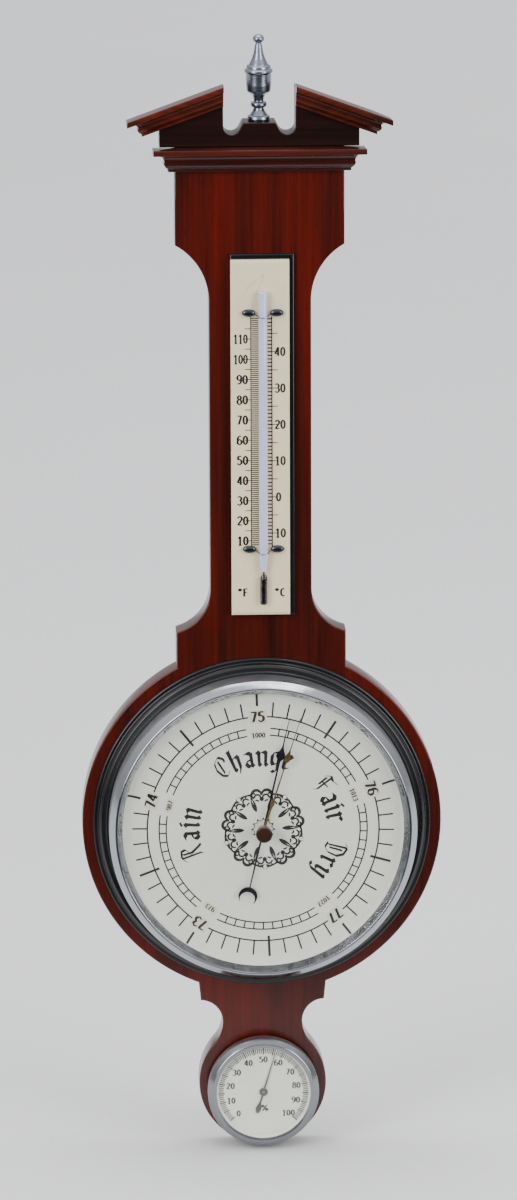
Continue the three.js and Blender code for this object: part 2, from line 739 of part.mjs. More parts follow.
function pedimentPanel() {
  const earBottom = (x) => rakeTop(x) - (RAKE_HIGH - EAR_COVER) * plumb;
  const edge = (x) => rakeTop(x) - PANEL_BELOW;
  const floorX = GAP_HALF - GAP_CORNER_R;
  const swing = new THREE.CubicBezierCurve(
    new THREE.Vector2(PLINTH_HALF, PLINTH_TOP),
    new THREE.Vector2(PLINTH_HALF + 3.7, PLINTH_TOP),
    new THREE.Vector2(PLINTH_HALF + 3.3, GAP_FLOOR),
    new THREE.Vector2(floorX, GAP_FLOOR),
  );
  const outline = mirrored([
    ...swing.getPoints(9).map((v) => [v.x, v.y]),
    ...arc(floorX, GAP_FLOOR + GAP_CORNER_R, GAP_CORNER_R, -90, 0, 6).slice(1),
    [GAP_HALF, edge(GAP_HALF)],
    [EAR_HALF, edge(EAR_HALF)],
    [EAR_HALF, earBottom(EAR_HALF)],
    [PANEL_HALF, earBottom(PANEL_HALF)],
    [PANEL_HALF, BLOCK_TOP + SEAT],
  ]);
  const socket = upright(
    FINIAL_STUD_R + RUN,
    PLINTH_TOP - FINIAL_STUD_LONG - RUN,
    PLINTH_TOP + 1,
    0,
    panelFront / 2,
    KNOB_SIDES,
  );
  return cut(slab(outline, 0, PANEL_THICK), socket);
}

// A turned metal urn with a spire and a ball, and a stud that stands in the plinth.
function finial() {
  const top = FINIAL_HIGH;
  const ballCentre = top - FINIAL_BALL_R;
  const ball = arc(0, ballCentre, FINIAL_BALL_R, -54, 90, 6);
  ball[ball.length - 1][0] = 0;
  return turnedUpright(
    [
      [0, -FINIAL_STUD_LONG],
      [FINIAL_STUD_R, -FINIAL_STUD_LONG],
      [FINIAL_STUD_R, SEAT],
      [FINIAL_BASE_R, SEAT],
      [FINIAL_BASE_R, 2.6],
      [4.6, 4.8],
      [3.25, 8],
      [4.7, 8.8],
      [4.7, 11.6],
      [3.3, 12.8],
      [4.1, 15.4],
      [6.8, 17.8],
      [FINIAL_CUP_R, 21],
      [FINIAL_CUP_R, 29.2],
      [FINIAL_COLLAR_R, 30.4],
      [FINIAL_COLLAR_R, 33.4],
      [7, 34.6],
      [4.6, 38.6],
      [2.05, 46.9],
      ...ball,
    ],
    KNOB_SIDES,
    0,
    panelFront / 2,
    PLINTH_TOP,
  );
}

// Thermometer

function clipHoles(from, to) {
  return clipPins.map(([, x, z]) => rod(CLIP_PIN_R + RUN, from, to, x, z));
}

function thermometerBacking() {
  const left = BACKING_X - BACKING_WIDE / 2;
  const top = BACKING_BOTTOM + BACKING_HIGH;
  const outline = [
    [left, BACKING_BOTTOM],
    [left + BACKING_WIDE, BACKING_BOTTOM],
    [left + BACKING_WIDE, top],
    [left, top],
  ];
  const body = slab(outline, boardFront - SEAT, BACKING_THICK, 0.4);
  return cut(body, ...clipHoles(boardFront + 1, backingFront - 1));
}

function scalePlate() {
  const left = PLATE_X - PLATE_WIDE / 2;
  const top = PLATE_BOTTOM + PLATE_HIGH;
  const rear = backingFront - SEAT;
  const corner = (inset, y) => [
    [left + inset, y, PLATE_BOTTOM + inset],
    [left + PLATE_WIDE - inset, y, PLATE_BOTTOM + inset],
    [left + PLATE_WIDE - inset, y, top - inset],
    [left + inset, y, top - inset],
  ];
  const rings = [
    corner(0, rear),
    corner(0, plateFront + PLATE_BEVEL / 2),
    corner(PLATE_BEVEL, plateFront),
  ];
  return cut(stack(rings), ...clipHoles(rear + 1, plateFront - 1));
}

// A solid whose sides run through rings of corners, closed at both ends.
function stack(rings) {
  const corners = rings[0].length;
  const index = [];
  for (let level = 0; level + 1 < rings.length; level++) {
    for (let i = 0; i < corners; i++) {
      const a = level * corners + i;
      const b = level * corners + ((i + 1) % corners);
      index.push(a, b, a + corners);
      index.push(b, b + corners, a + corners);
    }
  }
  const last = (rings.length - 1) * corners;
  for (let i = 1; i + 1 < corners; i++) {
    index.push(0, i + 1, i);
    index.push(last, last + i, last + i + 1);
  }
  const geometry = new THREE.BufferGeometry();
  geometry.setAttribute("position", new THREE.Float32BufferAttribute(rings.flat(2), 3));
  geometry.setIndex(index);
  return solid(geometry);
}

// The stem's bore opens at the tip, and widens into the bulb at the foot.
function thermometerTube() {
  const bulbTop = BULB_BOTTOM + BULB_LONG;
  const cavity = BULB_R - BULB_WALL;
  return turnedUpright(
    [
      [BORE_R, TUBE_TOP],
      [TUBE_R * 0.6, TUBE_TOP - 0.4],
      [TUBE_R, TUBE_TOP - 2.4],
      [TUBE_R, TUBE_NECK_Z + 4],
      [BULB_R + 0.2, TUBE_NECK_Z],
      [BULB_R - 0.5, bulbTop + 3],
      [BULB_R, bulbTop],
      [BULB_R, BULB_BOTTOM + 2],
      [BULB_R * 0.7, BULB_BOTTOM + 0.5],
      [0, BULB_BOTTOM],
      [0, BULB_BOTTOM + BULB_WALL],
      [cavity * 0.7, BULB_BOTTOM + BULB_WALL + 0.5],
      [cavity, BULB_BOTTOM + BULB_WALL + 1.6],
      [cavity, bulbTop - 1],
      [BORE_R, bulbTop + 1.2],
    ],
    PIN_SIDES,
    TUBE_X,
    tubeY,
    0,
  );
}

function thermometerLiquid() {
  const bulbTop = BULB_BOTTOM + BULB_LONG;
  const gap = BORE_R - LIQUID_R;
  const r = BULB_R - BULB_WALL - gap;
  const low = BULB_BOTTOM + BULB_WALL + gap;
  return turnedUpright(
    [
      [0, low],
      [r * 0.6, low + 0.6],
      [r, low + 1.9],
      [r, bulbTop - 1.2],
      [LIQUID_R, bulbTop + 0.8],
      [LIQUID_R, LIQUID_TOP - 0.3],
      [0, LIQUID_TOP],
    ],
    8,
    TUBE_X,
    tubeY,
    0,
  );
}

// An oval domed head on a pin that holds the plate, the backing and the wire.
function clipPin(x, z) {
  const headRear = plateFront - CLIP_HEAD_GAP;
  const oval = (share, y) =>
    arc(0, 0, 1, 0, 315, 7).map(([c, s]) => [
      x + (CLIP_HEAD_LONG / 2) * share * c,
      y,
      z + (CLIP_HEAD_WIDE / 2) * share * s,
    ]);
  const dome = stack([
    oval(0.94, headRear),
    oval(1, headRear - 0.3 * CLIP_HEAD_HIGH),
    oval(0.78, headRear - 0.75 * CLIP_HEAD_HIGH),
    oval(0.35, headRear - CLIP_HEAD_HIGH),
  ]);
  return join(dome, rod(CLIP_PIN_R, headRear - 0.5, pinEnd, x, z));
}

function clipWire(z) {
  const low = plateFront - WIRE_R - SEAT;
  const over = TUBE_R + WIRE_R + 0.25;
  const inner = CLIP_REACH - CLIP_PIN_R - 0.25;
  const half = [
    [-inner, low, 0],
    [-5.6, low - 0.2, -0.35 * WIRE_SAG],
    [-over, tubeY + 0.4, -0.7 * WIRE_SAG],
    [-over * 0.74, tubeY - over * 0.74, -0.9 * WIRE_SAG],
  ];
  const points = [
    ...half,
    [0, tubeY - over, -WIRE_SAG],
    ...half.map(([x, y, dz]) => [-x, y, dz]).reverse(),
  ];
  return wire(
    points.map(([x, y, dz]) => [TUBE_X + x, y, z + dz]),
    WIRE_R,
    14,
  );
}

// Barometer case, rings, dial and glass

function surroundRing() {
  const rear = boardFront - SEAT;
  const body = turned(
    [
      [caseR + PLAY, rear],
      [caseR + PLAY, ringFront],
      [landR, ringFront],
      [landR + 0.14 * RING_WIDE, ringFront + 0.08 * RING_HIGH],
      [landR + 0.36 * RING_WIDE, ringFront + 0.1 * RING_HIGH],
      [landR + 0.52 * RING_WIDE, ringFront + 0.31 * RING_HIGH],
      [landR + 0.64 * RING_WIDE, ringFront + 0.65 * RING_HIGH],
      [ringR, ringFront + 0.77 * RING_HIGH],
      [ringR, rear],
    ],
    RING_SIDES,
  );
  const holes = caseScrews.map(([x, z]) => rod(SCREW_R + RUN, rear + 1, ringFront - 1, x, z));
  return cut(body, ...holes);
}

// A pressed pan with a flange, whose rim carries the dial.
function instrumentCase() {
  const rim = dialRear - DIAL_BEND * DIAL_COVE + SEAT;
  const body = turned(
    [
      [0, caseFloorRear],
      [caseR, caseFloorRear],
      [caseR, flangeRear],
      [flangeR, flangeRear],
      [flangeR, flangeFront],
      [caseR, flangeFront],
      [caseR, rim],
      [caseInnerR, rim],
      [caseInnerR, caseFloorFront],
      [0, caseFloorFront],
    ],
    RING_SIDES,
  );
  const holes = caseScrews.map(([x, z]) =>
    rod(SCREW_R + RUN, flangeRear + 1, flangeFront - 1, x, z),
  );
  return cut(body, rod(ADJUST_HOLE_R, 1, caseFloorFront - 1, capsuleX, 0), ...holes);
}

function caseScrew([x, z]) {
  const rear = flangeFront - SEAT;
  const head = turned(
    [
      [0, rear],
      [SCREW_HEAD_R, rear],
      [SCREW_HEAD_R, rear - 0.7],
      [SCREW_HEAD_R * 0.6, rear - SCREW_HEAD_HIGH],
      [0, rear - SCREW_HEAD_HIGH],
    ],
    PIN_SIDES,
    x,
    z,
  );
  const shank = rod(SCREW_R, rear - 0.5, flangeFront + SCREW_LONG, x, z);
  const slotDeep = rear - SCREW_HEAD_HIGH + 0.6;
  const slot = block(x - 3, x + 3, rear - 3, slotDeep, z - 0.3, z + 0.3);
  return cut(join(head, shank), slot);
}

function bezel() {
  const rear = ringFront - SEAT;
  const inner = BEZEL_R - BEZEL_WALL;
  const lipRear = LIP_Y + BEZEL_WALL;
  return turned(
    [
      [BEZEL_R, rear],
      [BEZEL_R, LIP_Y + 4.9],
      [BEZEL_R - 0.8, LIP_Y + 1.8],
      [BEZEL_R - 2.9, LIP_Y + 0.3],
      [lipR, LIP_Y],
      [lipR, lipRear],
      [glassR + PLAY, lipRear],
      [inner, lipRear + 2.6],
      [inner, rear],
    ],
    RING_SIDES,
  );
}

function reflectorRing() {
  const front = glassRear + SEAT;
  const rear = DIAL_Y - DIAL_COVE - SEAT - 0.1;
  return turned(
    [
      [glassR, front],
      [lipR, front],
      [reflectorR, rear - 0.6],
      [reflectorR, rear],
      [reflectorR + REFLECTOR_FOOT, rear],
      [glassR, front + REFLECTOR_THICK],
    ],
    RING_SIDES,
  );
}

function dialPlate() {
  const rim = DIAL_Y - DIAL_COVE;
  const front = [
    [DIAL_HOLE_R, DIAL_Y],
    [dialFlatR, DIAL_Y],
    [caseInnerR, DIAL_Y - DIAL_BEND * DIAL_COVE],
    [dialR, rim],
  ];
  const rear = front.map(([r, y]) => [r, y + DIAL_THICK]).reverse();
  return turned([...front, ...rear], RING_SIDES);
}

function barometerGlass() {
  return turned(
    [
      [BUSH_R + RUN, glassRear],
      [glassR, glassRear],
      [glassR, glassFront],
      [BUSH_R + RUN, glassFront],
    ],
    RING_SIDES,
  );
}

// Aneroid movement

function basePlate() {
  const left = pillars[2][0];
  const outline = band(
    [
      [left, -BASE_HALF],
      [BASE_RIGHT, -BASE_HALF],
      [BASE_RIGHT, BASE_HALF],
      [left, BASE_HALF],
    ],
    BASE_CORNER_R,
  );
  return cut(
    slab(outline, baseRear, BASE_THICK),
    rod(ADJUST_HEAD_R + PLAY, 1, adjustHeadFront, capsuleX, 0),
    rod(ADJUST_R + RUN, 1, baseFront - 1, capsuleX, 0, KNOB_SIDES),
  );
}

// The slotted head lies in a counterbore of the base, reached through the back of the case.
function adjustingScrew() {
  const headFront = adjustHeadFront + SEAT;
  const head = rod(ADJUST_HEAD_R, headFront, baseRear, capsuleX, 0);
  const shank = rod(ADJUST_R, headFront, capsuleRear + SEAT, capsuleX, 0, KNOB_SIDES);
  const slot = block(capsuleX - 4, capsuleX + 4, baseRear - 0.5, 1, -0.4, 0.4);
  return cut(join(head, shank), slot);
}

// Two corrugated diaphragms soldered at the rim, on a hollow seat.
function aneroidCapsule() {
  const wavy = (side) => {
    const count = CAPSULE_WAVES * 2;
    const from = CAPSULE_SEAT_R + 0.4;
    return Array.from({ length: count + 1 }, (_, i) => {
      const r = from + ((CAPSULE_R - 1.5 - from) * i) / count;
      const wave = CAPSULE_WAVE_HIGH * (i % 2);
      return [r, CAPSULE_RIM_Y - side * (CAPSULE_HALF_HIGH - wave)];
    });
  };
  const front = wavy(1);
  const rear = wavy(-1);
  const seatFoot = baseFront - SEAT;
  return turned(
    [
      [ADJUST_R + RUN, seatFoot],
      [CAPSULE_SEAT_R, seatFoot],
      [CAPSULE_SEAT_R, rear[0][1]],
      ...rear,
      [CAPSULE_R, CAPSULE_RIM_Y + 0.5],
      [CAPSULE_R, CAPSULE_RIM_Y - 0.5],
      ...front.reverse(),
      [STUD_R + RUN, capsuleFront],
      [STUD_R + RUN, capsuleFront + STUD_HOLE_DEEP],
      [0, capsuleFront + STUD_HOLE_DEEP],
      [0, capsuleRear],
      [ADJUST_R + RUN, capsuleRear],
    ],
    KNOB_SIDES,
    capsuleX,
    0,
  );
}

// The stud in the middle of the front diaphragm, which moves with the air pressure.
function capsuleStud() {
  const root = capsuleFront + STUD_HOLE_DEEP - SEAT;
  return join(
    rod(STUD_R, root, toeEnd + FINGER_PLAY + 0.6, capsuleX, 0),
    rod(STUD_R / 2, toeEnd + FINGER_PLAY + 1, toeEnd + FINGER_PLAY, capsuleX, 0),
  );
}

function rockerBracket(side) {
  const z0 = side * (ROCKER_HALF + PLAY);
  const z1 = z0 + side * BRACKET_THICK;
  const low = Math.min(z0, z1);
  const high = Math.max(z0, z1);
  const half = BRACKET_WIDE / 2;
  const web = block(rockerX - half, rockerX + half, ROCKER_Y - 2.5, baseFront - SEAT, low, high);
  const pivot = upright(PIVOT_R + RUN, low - 1, high + 1, rockerX, ROCKER_Y);
  return cut(web, pivot);
}

// Shaft across the capsule, with a short arm on the stud and a long finger on the sector.
function rockingShaft() {
  const shaft = upright(ROCKER_R, -ROCKER_HALF, ROCKER_HALF, rockerX, ROCKER_Y);
  const pivots = upright(
    PIVOT_R,
    -ROCKER_HALF - PLAY - BRACKET_THICK,
    ROCKER_HALF + PLAY + BRACKET_THICK,
    rockerX,
    ROCKER_Y,
  );
  const arm = block(capsuleX - 1, rockerX, ROCKER_Y - 0.7, ROCKER_Y + 0.7, -1.2, 1.2);
  const toe = rod(0.7, ROCKER_Y, toeEnd, capsuleX, 0, 8);
  const reach = SECTOR_Y + FINGER_CLEAR;
  const finger = block(
    rockerX - FINGER_WIDE / 2,
    rockerX + FINGER_WIDE / 2,
    reach,
    ROCKER_Y,
    TAIL_LONG - 1.2,
    TAIL_LONG + 1.2,
  );
  return join(shaft, pivots, arm, toe, finger);
}

function movementPlate(rear, extraHoles) {
  const outline = band([pillars[1], pillars[0], pillars[2]], PLATE_CORNER_R);
  const pillarHoles = pillars.map(([x, z]) =>
    rod(PILLAR_R * 0.6 + RUN, rear + 1, rear - PLATE_GAUGE - 1, x, z),
  );
  return cut(slab(outline, rear, PLATE_GAUGE), ...pillarHoles, ...extraHoles);
}

function backMovementPlate() {
  const rear = BACK_PLATE_Y;
  const through = rear - PLATE_GAUGE - 1;
  const window = block(
    rockerX - 4.5,
    rockerX + 4.5,
    through,
    rear + 1,
    TAIL_LONG - 2.2,
    TAIL_LONG + 2.2,
  );
  const springStud = rod(
    springStudR,
    rear - PLATE_GAUGE / 2,
    SPRING_Y - SPRING_WIDE,
    springEndX,
    0,
    PIN_SIDES,
  );
  const plate = movementPlate(rear, [
    rod(PIVOT_R + RUN, rear + 1, through, 0, 0),
    rod(PIVOT_R + RUN, rear + 1, through, sectorX, 0),
    window,
  ]);
  return join(plate, springStud);
}

function frontMovementPlate() {
  const rear = FRONT_PLATE_Y;
  const through = rear - PLATE_GAUGE - 1;
  return movementPlate(rear, [
    rod(ARBOR_R + RUN, rear + 1, through, 0, 0, KNOB_SIDES),
    rod(PIVOT_R + RUN, rear + 1, through, sectorX, 0),
  ]);
}

function movementPillar([x, z]) {
  const thin = PILLAR_R * 0.6;
  return join(
    rod(PILLAR_R, baseFront - SEAT, BACK_PLATE_Y + SEAT, x, z),
    rod(thin, BACK_PLATE_Y + 1, backPlateFront - 0.5, x, z),
    rod(PILLAR_R, backPlateFront - SEAT, FRONT_PLATE_Y + SEAT, x, z),
    rod(thin, FRONT_PLATE_Y + 1, frontPlateFront - 0.8, x, z),
  );
}

// Half the angle of a tooth at a radius, for an involute flank.
function toothHalfAngle(teeth, r) {
  const pitchR = (MODULE * teeth) / 2;
  const baseR = pitchR * Math.cos(radians(PRESSURE_ANGLE));
  const involute = (angle) => Math.tan(angle) - angle;
  const here = Math.acos(Math.min(1, baseR / Math.max(r, baseR)));
  const atPitch = Math.PI / (2 * teeth) - TOOTH_THINNING / pitchR;
  return atPitch + involute(radians(PRESSURE_ANGLE)) - involute(here);
}

// Outline points of one tooth, from its root on one side to its root on the other.
function toothPoints(teeth, addendum, dedendum, centre) {
  const pitchR = (MODULE * teeth) / 2;
  const rootR = pitchR - dedendum * MODULE;
  const tipR = pitchR + addendum * MODULE;
  const baseR = Math.max(rootR, pitchR * Math.cos(radians(PRESSURE_ANGLE)));
  const radii = [rootR, baseR, pitchR, tipR];
  const flank = radii.map((r) => [r, toothHalfAngle(teeth, r)]);
  const at = ([r, half], side) => [
    r * Math.cos(centre + side * half),
    r * Math.sin(centre + side * half),
  ];
  return [...flank.map((f) => at(f, -1)), ...flank.reverse().map((f) => at(f, 1))];
}

function pinion() {
  const points = Array.from({ length: PINION_TEETH }, (_, i) =>
    toothPoints(
      PINION_TEETH,
      PINION_ADDENDUM,
      PINION_DEDENDUM,
      Math.PI + ((i + 0.5) * 2 * Math.PI) / PINION_TEETH,
    ),
  ).flat();
  const middle = SECTOR_Y - SECTOR_THICK / 2;
  return slab(points, middle + PINION_LONG / 2, PINION_LONG);
}

// The arbor carries the pinion, the inner end of the hairspring and the pressure hand.
function pointerArbor() {
  const handFront = HAND_Y - HAND_THICK - 0.9;
  return join(
    rod(PIVOT_R, BACK_PLATE_Y - 0.2, backPlateFront - 0.4, 0, 0),
    rod(ARBOR_R, backPlateFront - 0.3, handFront, 0, 0, KNOB_SIDES),
    rod(SPRING_IN_R - 0.4, SPRING_Y + 0.2, SPRING_Y - SPRING_WIDE - 0.2, 0, 0),
    pinion(),
  );
}

function hairspring() {
  return spiral(SPRING_IN_R, SPRING_OUT_R, SPRING_TURNS, SPRING_THICK, SPRING_Y, SPRING_WIDE, 0);
}

function sectorGear() {
  const pitch = (2 * Math.PI) / WHEEL_TEETH;
  const first = -(SECTOR_TEETH - 1) / 2;
  const teeth = Array.from({ length: SECTOR_TEETH }, (_, i) =>
    toothPoints(WHEEL_TEETH, SECTOR_ADDENDUM, SECTOR_DEDENDUM, (first + i) * pitch),
  ).flat();
  const span = ((SECTOR_TEETH / 2) * 360) / WHEEL_TEETH;
  const rimR = sectorR - SECTOR_DEDENDUM * MODULE;
  const rim = [
    arc(0, 0, rimR, span, span, 1)[0],
    ...arc(0, 0, rimR - 2.6, span, -span, 8),
    arc(0, 0, rimR, -span, -span, 1)[0],
  ];
  const arm = (turn) => {
    const a = radians(turn);
    const long = rimR - 1;
    const across = [-Math.sin(a), Math.cos(a)];
    const at = (r, w) => [r * Math.cos(a) + w * across[0], r * Math.sin(a) + w * across[1]];
    return slab([at(0, -1.3), at(long, -0.9), at(long, 0.9), at(0, 1.3)], SECTOR_Y, SECTOR_THICK);
  };
  const tail = [
    [-1.3, 0],
    [1.3, 0],
    [1.1, TAIL_LONG + 1.2],
    [-1.1, TAIL_LONG + 1.2],
  ];
  const tailPin = rod(
    TAIL_PIN_R,
    SECTOR_Y - SECTOR_THICK / 2,
    SECTOR_Y + TAIL_PIN_LONG,
    0,
    TAIL_LONG,
    PIN_SIDES,
  );
  const body = join(
    slab([...teeth, ...rim], SECTOR_Y, SECTOR_THICK),
    arm(span - 4),
    arm(4 - span),
    rod(HUB_R, SECTOR_Y + 0.6, SECTOR_Y - SECTOR_THICK - 0.6, 0, 0, KNOB_SIDES),
    slab(tail, SECTOR_Y, SECTOR_THICK),
    tailPin,
  );
  const bore = rod(ARBOR_R + SEAT, 0, -60, 0, 0);
  return moved(cut(body, bore), sectorX, 0, 0);
}

function sectorArbor() {
  return join(
    rod(PIVOT_R, BACK_PLATE_Y - 0.2, frontPlateFront + 0.2, sectorX, 0),
    rod(ARBOR_R, backPlateFront - 0.3, FRONT_PLATE_Y + 0.3, sectorX, 0),
  );
}

// Hands

// A leaf or spade: wide in the middle, pointed along the hand.
function leaf(centre, long, wide) {
  return [
    [0, centre - long / 2],
    [wide * 0.32, centre - long * 0.3],
    [wide / 2, centre - long * 0.08],
    [wide * 0.3, centre + long * 0.2],
    [0, centre + long / 2],
    [-wide * 0.3, centre + long * 0.2],
    [-wide / 2, centre - long * 0.08],
    [-wide * 0.32, centre - long * 0.3],
  ];
}

const needle = (from, to, wideFrom, wideTo) => [
  [-wideFrom / 2, from],
  [wideFrom / 2, from],
  [wideTo / 2, to],
  [-wideTo / 2, to],
];

function pressureHand() {
  const cutOf = (points) => slab(points, HAND_Y, HAND_THICK);
  const crescent = cut(
    rod(CRESCENT_R, HAND_Y, HAND_Y - HAND_THICK, 0, -HAND_TAIL, 22),
    rod(CRESCENT_BITE_R, 0, -60, 0, -HAND_TAIL - CRESCENT_BITE_OUT, 20),
  );
  const bore = rod(ARBOR_R + SEAT, 0, -60, 0, 0, KNOB_SIDES);
  const body = join(
    cutOf(needle(0, dialFlatR - HAND_SHORT, 1.5, 0.3)),
    cutOf(leaf(HAND_SPADE, 10.5, 6)),
    cutOf(needle(0, -HAND_TAIL + CRESCENT_BITE_R - CRESCENT_BITE_OUT + 0.3, 1.3, 1)),
    crescent,
    rod(HAND_HUB_R, HAND_Y + 0.8, HAND_Y - HAND_THICK - 0.7, 0, 0, KNOB_SIDES),
  );
  return cut(clockwise(body, PRESSURE_ANGLE_NOW), bore);
}

function setHand() {
  const cutOf = (points) => slab(points, SET_Y, HAND_THICK);
  const body = join(
    cutOf(needle(0, dialFlatR - SET_SHORT, 1.3, 0.3)),
    cutOf(leaf(SET_LEAF, 9, 4.6)),
    cutOf(leaf(SET_SMALL_LEAF, 7, 2.6)),
    rod(HAND_HUB_R, SET_Y + 0.1, SET_Y - HAND_THICK - 0.3, 0, 0, KNOB_SIDES),
  );
  const bore = rod(KNOB_SHAFT_R + SEAT, 0, -60, 0, 0, KNOB_SIDES);
  return cut(clockwise(body, SET_ANGLE_NOW), bore);
}

function setKnob() {
  const rear = glassFront - BUSH_FLANGE - 0.3;
  const face = KNOB_FRONT;
  return turned(
    [
      [0, SET_Y],
      [KNOB_SHAFT_R, SET_Y],
      [KNOB_SHAFT_R, rear],
      [KNOB_R - 1.4, rear],
      [KNOB_R - 0.4, rear - 0.8],
      [KNOB_R, rear - 2],
      [KNOB_R, face + 0.9],
      [KNOB_R - 0.5, face + 0.2],
      [KNOB_R - 1.1, face],
      [0, face + 0.35],
    ],
    KNOB_SIDES,
  );
}

function knobBush() {
  const inner = KNOB_SHAFT_R + RUN;
  return turned(
    [
      [inner, glassFront - BUSH_FLANGE],
      [BUSH_FLANGE_R - 0.4, glassFront - BUSH_FLANGE],
      [BUSH_FLANGE_R, glassFront - SEAT],
      [BUSH_R, glassFront - SEAT],
      [BUSH_R, glassRear + SEAT],
      [BUSH_FLANGE_R - 0.6, glassRear + SEAT],
      [BUSH_FLANGE_R - 0.6, glassRear + 0.5],
      [inner, glassRear + 0.5],
    ],
    KNOB_SIDES,
  );
}

// Hygrometer

const atHygro = (body) => moved(body, 0, 0, HYGRO_Z);

function hygrometerCase() {
  const floorFront = hygroFloorFront;
  const inner = hygroCaseR - HYGRO_WALL;
  const rim = hygroDialRear + SEAT;
  const boreR = HYGRO_ARBOR_R + RUN;
  const cup = turned(
    [
      [boreR, HYGRO_BACK_Y],
      [hygroCaseR, HYGRO_BACK_Y],
      [hygroCaseR, HYGRO_FLANGE_Y],
      [hygroFlangeR, HYGRO_FLANGE_Y],
      [hygroFlangeR, hygroFlangeFront],
      [hygroCaseR, hygroFlangeFront],
      [hygroCaseR, rim],
      [inner, rim],
      [inner, floorFront],
      [HYGRO_BOSS_R, floorFront],
      [HYGRO_BOSS_R, floorFront - 2.5],
      [boreR, floorFront - 2.5],
    ],
    SMALL_SIDES,
  );
  const tabRear = boardFront - SEAT;
  const tab = (i) => {
    const outline = [
      [hygroFlangeR - HYGRO_TAB_THICK - 0.3, -HYGRO_TAB_WIDE / 2],
      [hygroFlangeR - 0.3, -HYGRO_TAB_WIDE / 2],
      [hygroFlangeR - 0.3, HYGRO_TAB_WIDE / 2],
      [hygroFlangeR - HYGRO_TAB_THICK - 0.3, HYGRO_TAB_WIDE / 2],
    ];
    const upper = slab(outline, tabRear, tabRear - HYGRO_FLANGE_Y + HYGRO_WALL / 2);
    return clockwise(upper, (360 * i) / HYGRO_TABS);
  };
  const tabs = Array.from({ length: HYGRO_TABS }, (_, i) => tab(i));
  const ventCircleR = hygroCaseR - HYGRO_VENT_IN;
  const vents = Array.from({ length: HYGRO_VENTS }, (_, i) => {
    const angle = ((i + 0.5) * 2 * Math.PI) / HYGRO_VENTS;
    return rod(
      HYGRO_VENT_R,
      1,
      floorFront - 1,
      ventCircleR * Math.cos(angle),
      ventCircleR * Math.sin(angle),
    );
  });
  const coilStud = rod(coilStudR, floorFront + 0.3, COIL_Y - COIL_WIDE, coilEndX, 0);
  return atHygro(cut(join(cup, ...tabs, coilStud), ...vents));
}

function hygrometerBezel() {
  const rear = HYGRO_FLANGE_Y + 0.3;
  const inner = HYGRO_R - HYGRO_WALL + 0.3;
  const lipRear = HYGRO_LIP_Y + HYGRO_WALL;
  return atHygro(
    turned(
      [
        [HYGRO_R, rear],
        [HYGRO_R, HYGRO_LIP_Y + 2.9],
        [HYGRO_R - 0.9, HYGRO_LIP_Y + 0.7],
        [HYGRO_R - 2.6, HYGRO_LIP_Y],
        [hygroLipR, HYGRO_LIP_Y + 0.4],
        [hygroLipR, lipRear],
        [hygroGlassR + PLAY, lipRear],
        [inner, lipRear + 2.4],
        [inner, rear],
      ],
      SMALL_SIDES,
    ),
  );
}

function hygrometerGlass() {
  return atHygro(rod(hygroGlassR, hygroGlassRear, hygroGlassFront, 0, 0, SMALL_SIDES));
}

function hygrometerDial() {
  const rim = hygroGlassRear + SEAT;
  return atHygro(
    turned(
      [
        [HYGRO_ARBOR_R + PLAY, hygroDialRear],
        [hygroCaseR, hygroDialRear],
        [hygroGlassR, rim],
        [hygroGlassR - 0.8, rim],
        [hygroCaseR - 0.5, HYGRO_DIAL_Y],
        [HYGRO_ARBOR_R + PLAY, HYGRO_DIAL_Y],
      ],
      SMALL_SIDES,
    ),
  );
}

function hygrometerHand() {
  const rear = HYGRO_DIAL_Y - 0.6;
  const cutOf = (points) => slab(points, rear, 0.35);
  const body = join(
    cutOf(needle(0, hygroCaseR - HYGRO_HAND_SHORT, 0.9, 0.25)),
    cutOf(needle(0, -HYGRO_TAIL_LONG + 1, 0.9, 0.9)),
    cutOf(leaf(-HYGRO_TAIL_LONG + 3.4, 8, 3.4)),
    rod(HYGRO_HUB_R, rear + 0.2, rear - 0.7, 0, 0, KNOB_SIDES),
  );
  const bore = rod(HYGRO_ARBOR_R + SEAT, 0, -60, 0, 0);
  return atHygro(cut(clockwise(body, HYGRO_ANGLE_NOW), bore));
}

function hygrometerArbor() {
  return atHygro(
    join(
      rod(HYGRO_ARBOR_R, HYGRO_BACK_Y - 0.3, HYGRO_DIAL_Y - 1.2, 0, 0),
      rod(COIL_IN_R - 0.5, hygroFloorFront - 2.9, COIL_Y - COIL_WIDE - 0.4, 0, 0),
    ),
  );
}

function humidityCoil() {
  return atHygro(spiral(COIL_IN_R, COIL_OUT_R, COIL_TURNS, COIL_THICK, COIL_Y, COIL_WIDE, 0));
}

// The assembly
piece("case_board", caseBoard(), "mahogany");
piece("hanger_plate", hangerPlate(), "steel");
piece("hanger_screw_left", hangerScrew(-1), "steel");
piece("hanger_screw_right", hangerScrew(1), "steel");
piece("pediment_panel", pedimentPanel(), "darkMahogany");
const corniceProfile = mouldingProfile(CORNICE_HIGH, CORNICE_FILLET);
const rakeProfile = mouldingProfile(RAKE_HIGH, RAKE_FILLET);
piece("cornice_front", between(corniceProfile, corniceEnd(-1), corniceEnd(1)), "darkMahogany");
for (const [side, name] of [
  [-1, "left"],
  [1, "right"],
]) {
  const cornice = between(corniceProfile, corniceEnd(side), corniceBack(side));
  piece("cornice_return_" + name, cornice, "darkMahogany");
  const raking = between(rakeProfile, rakeInner(side), rakeMitre(side));
  piece("raking_moulding_" + name, raking, "darkMahogany");
  const returned = between(rakeProfile, rakeMitre(side), rakeBack(side));
  piece("raking_return_" + name, returned, "darkMahogany");
}
piece("finial", finial(), "silver");

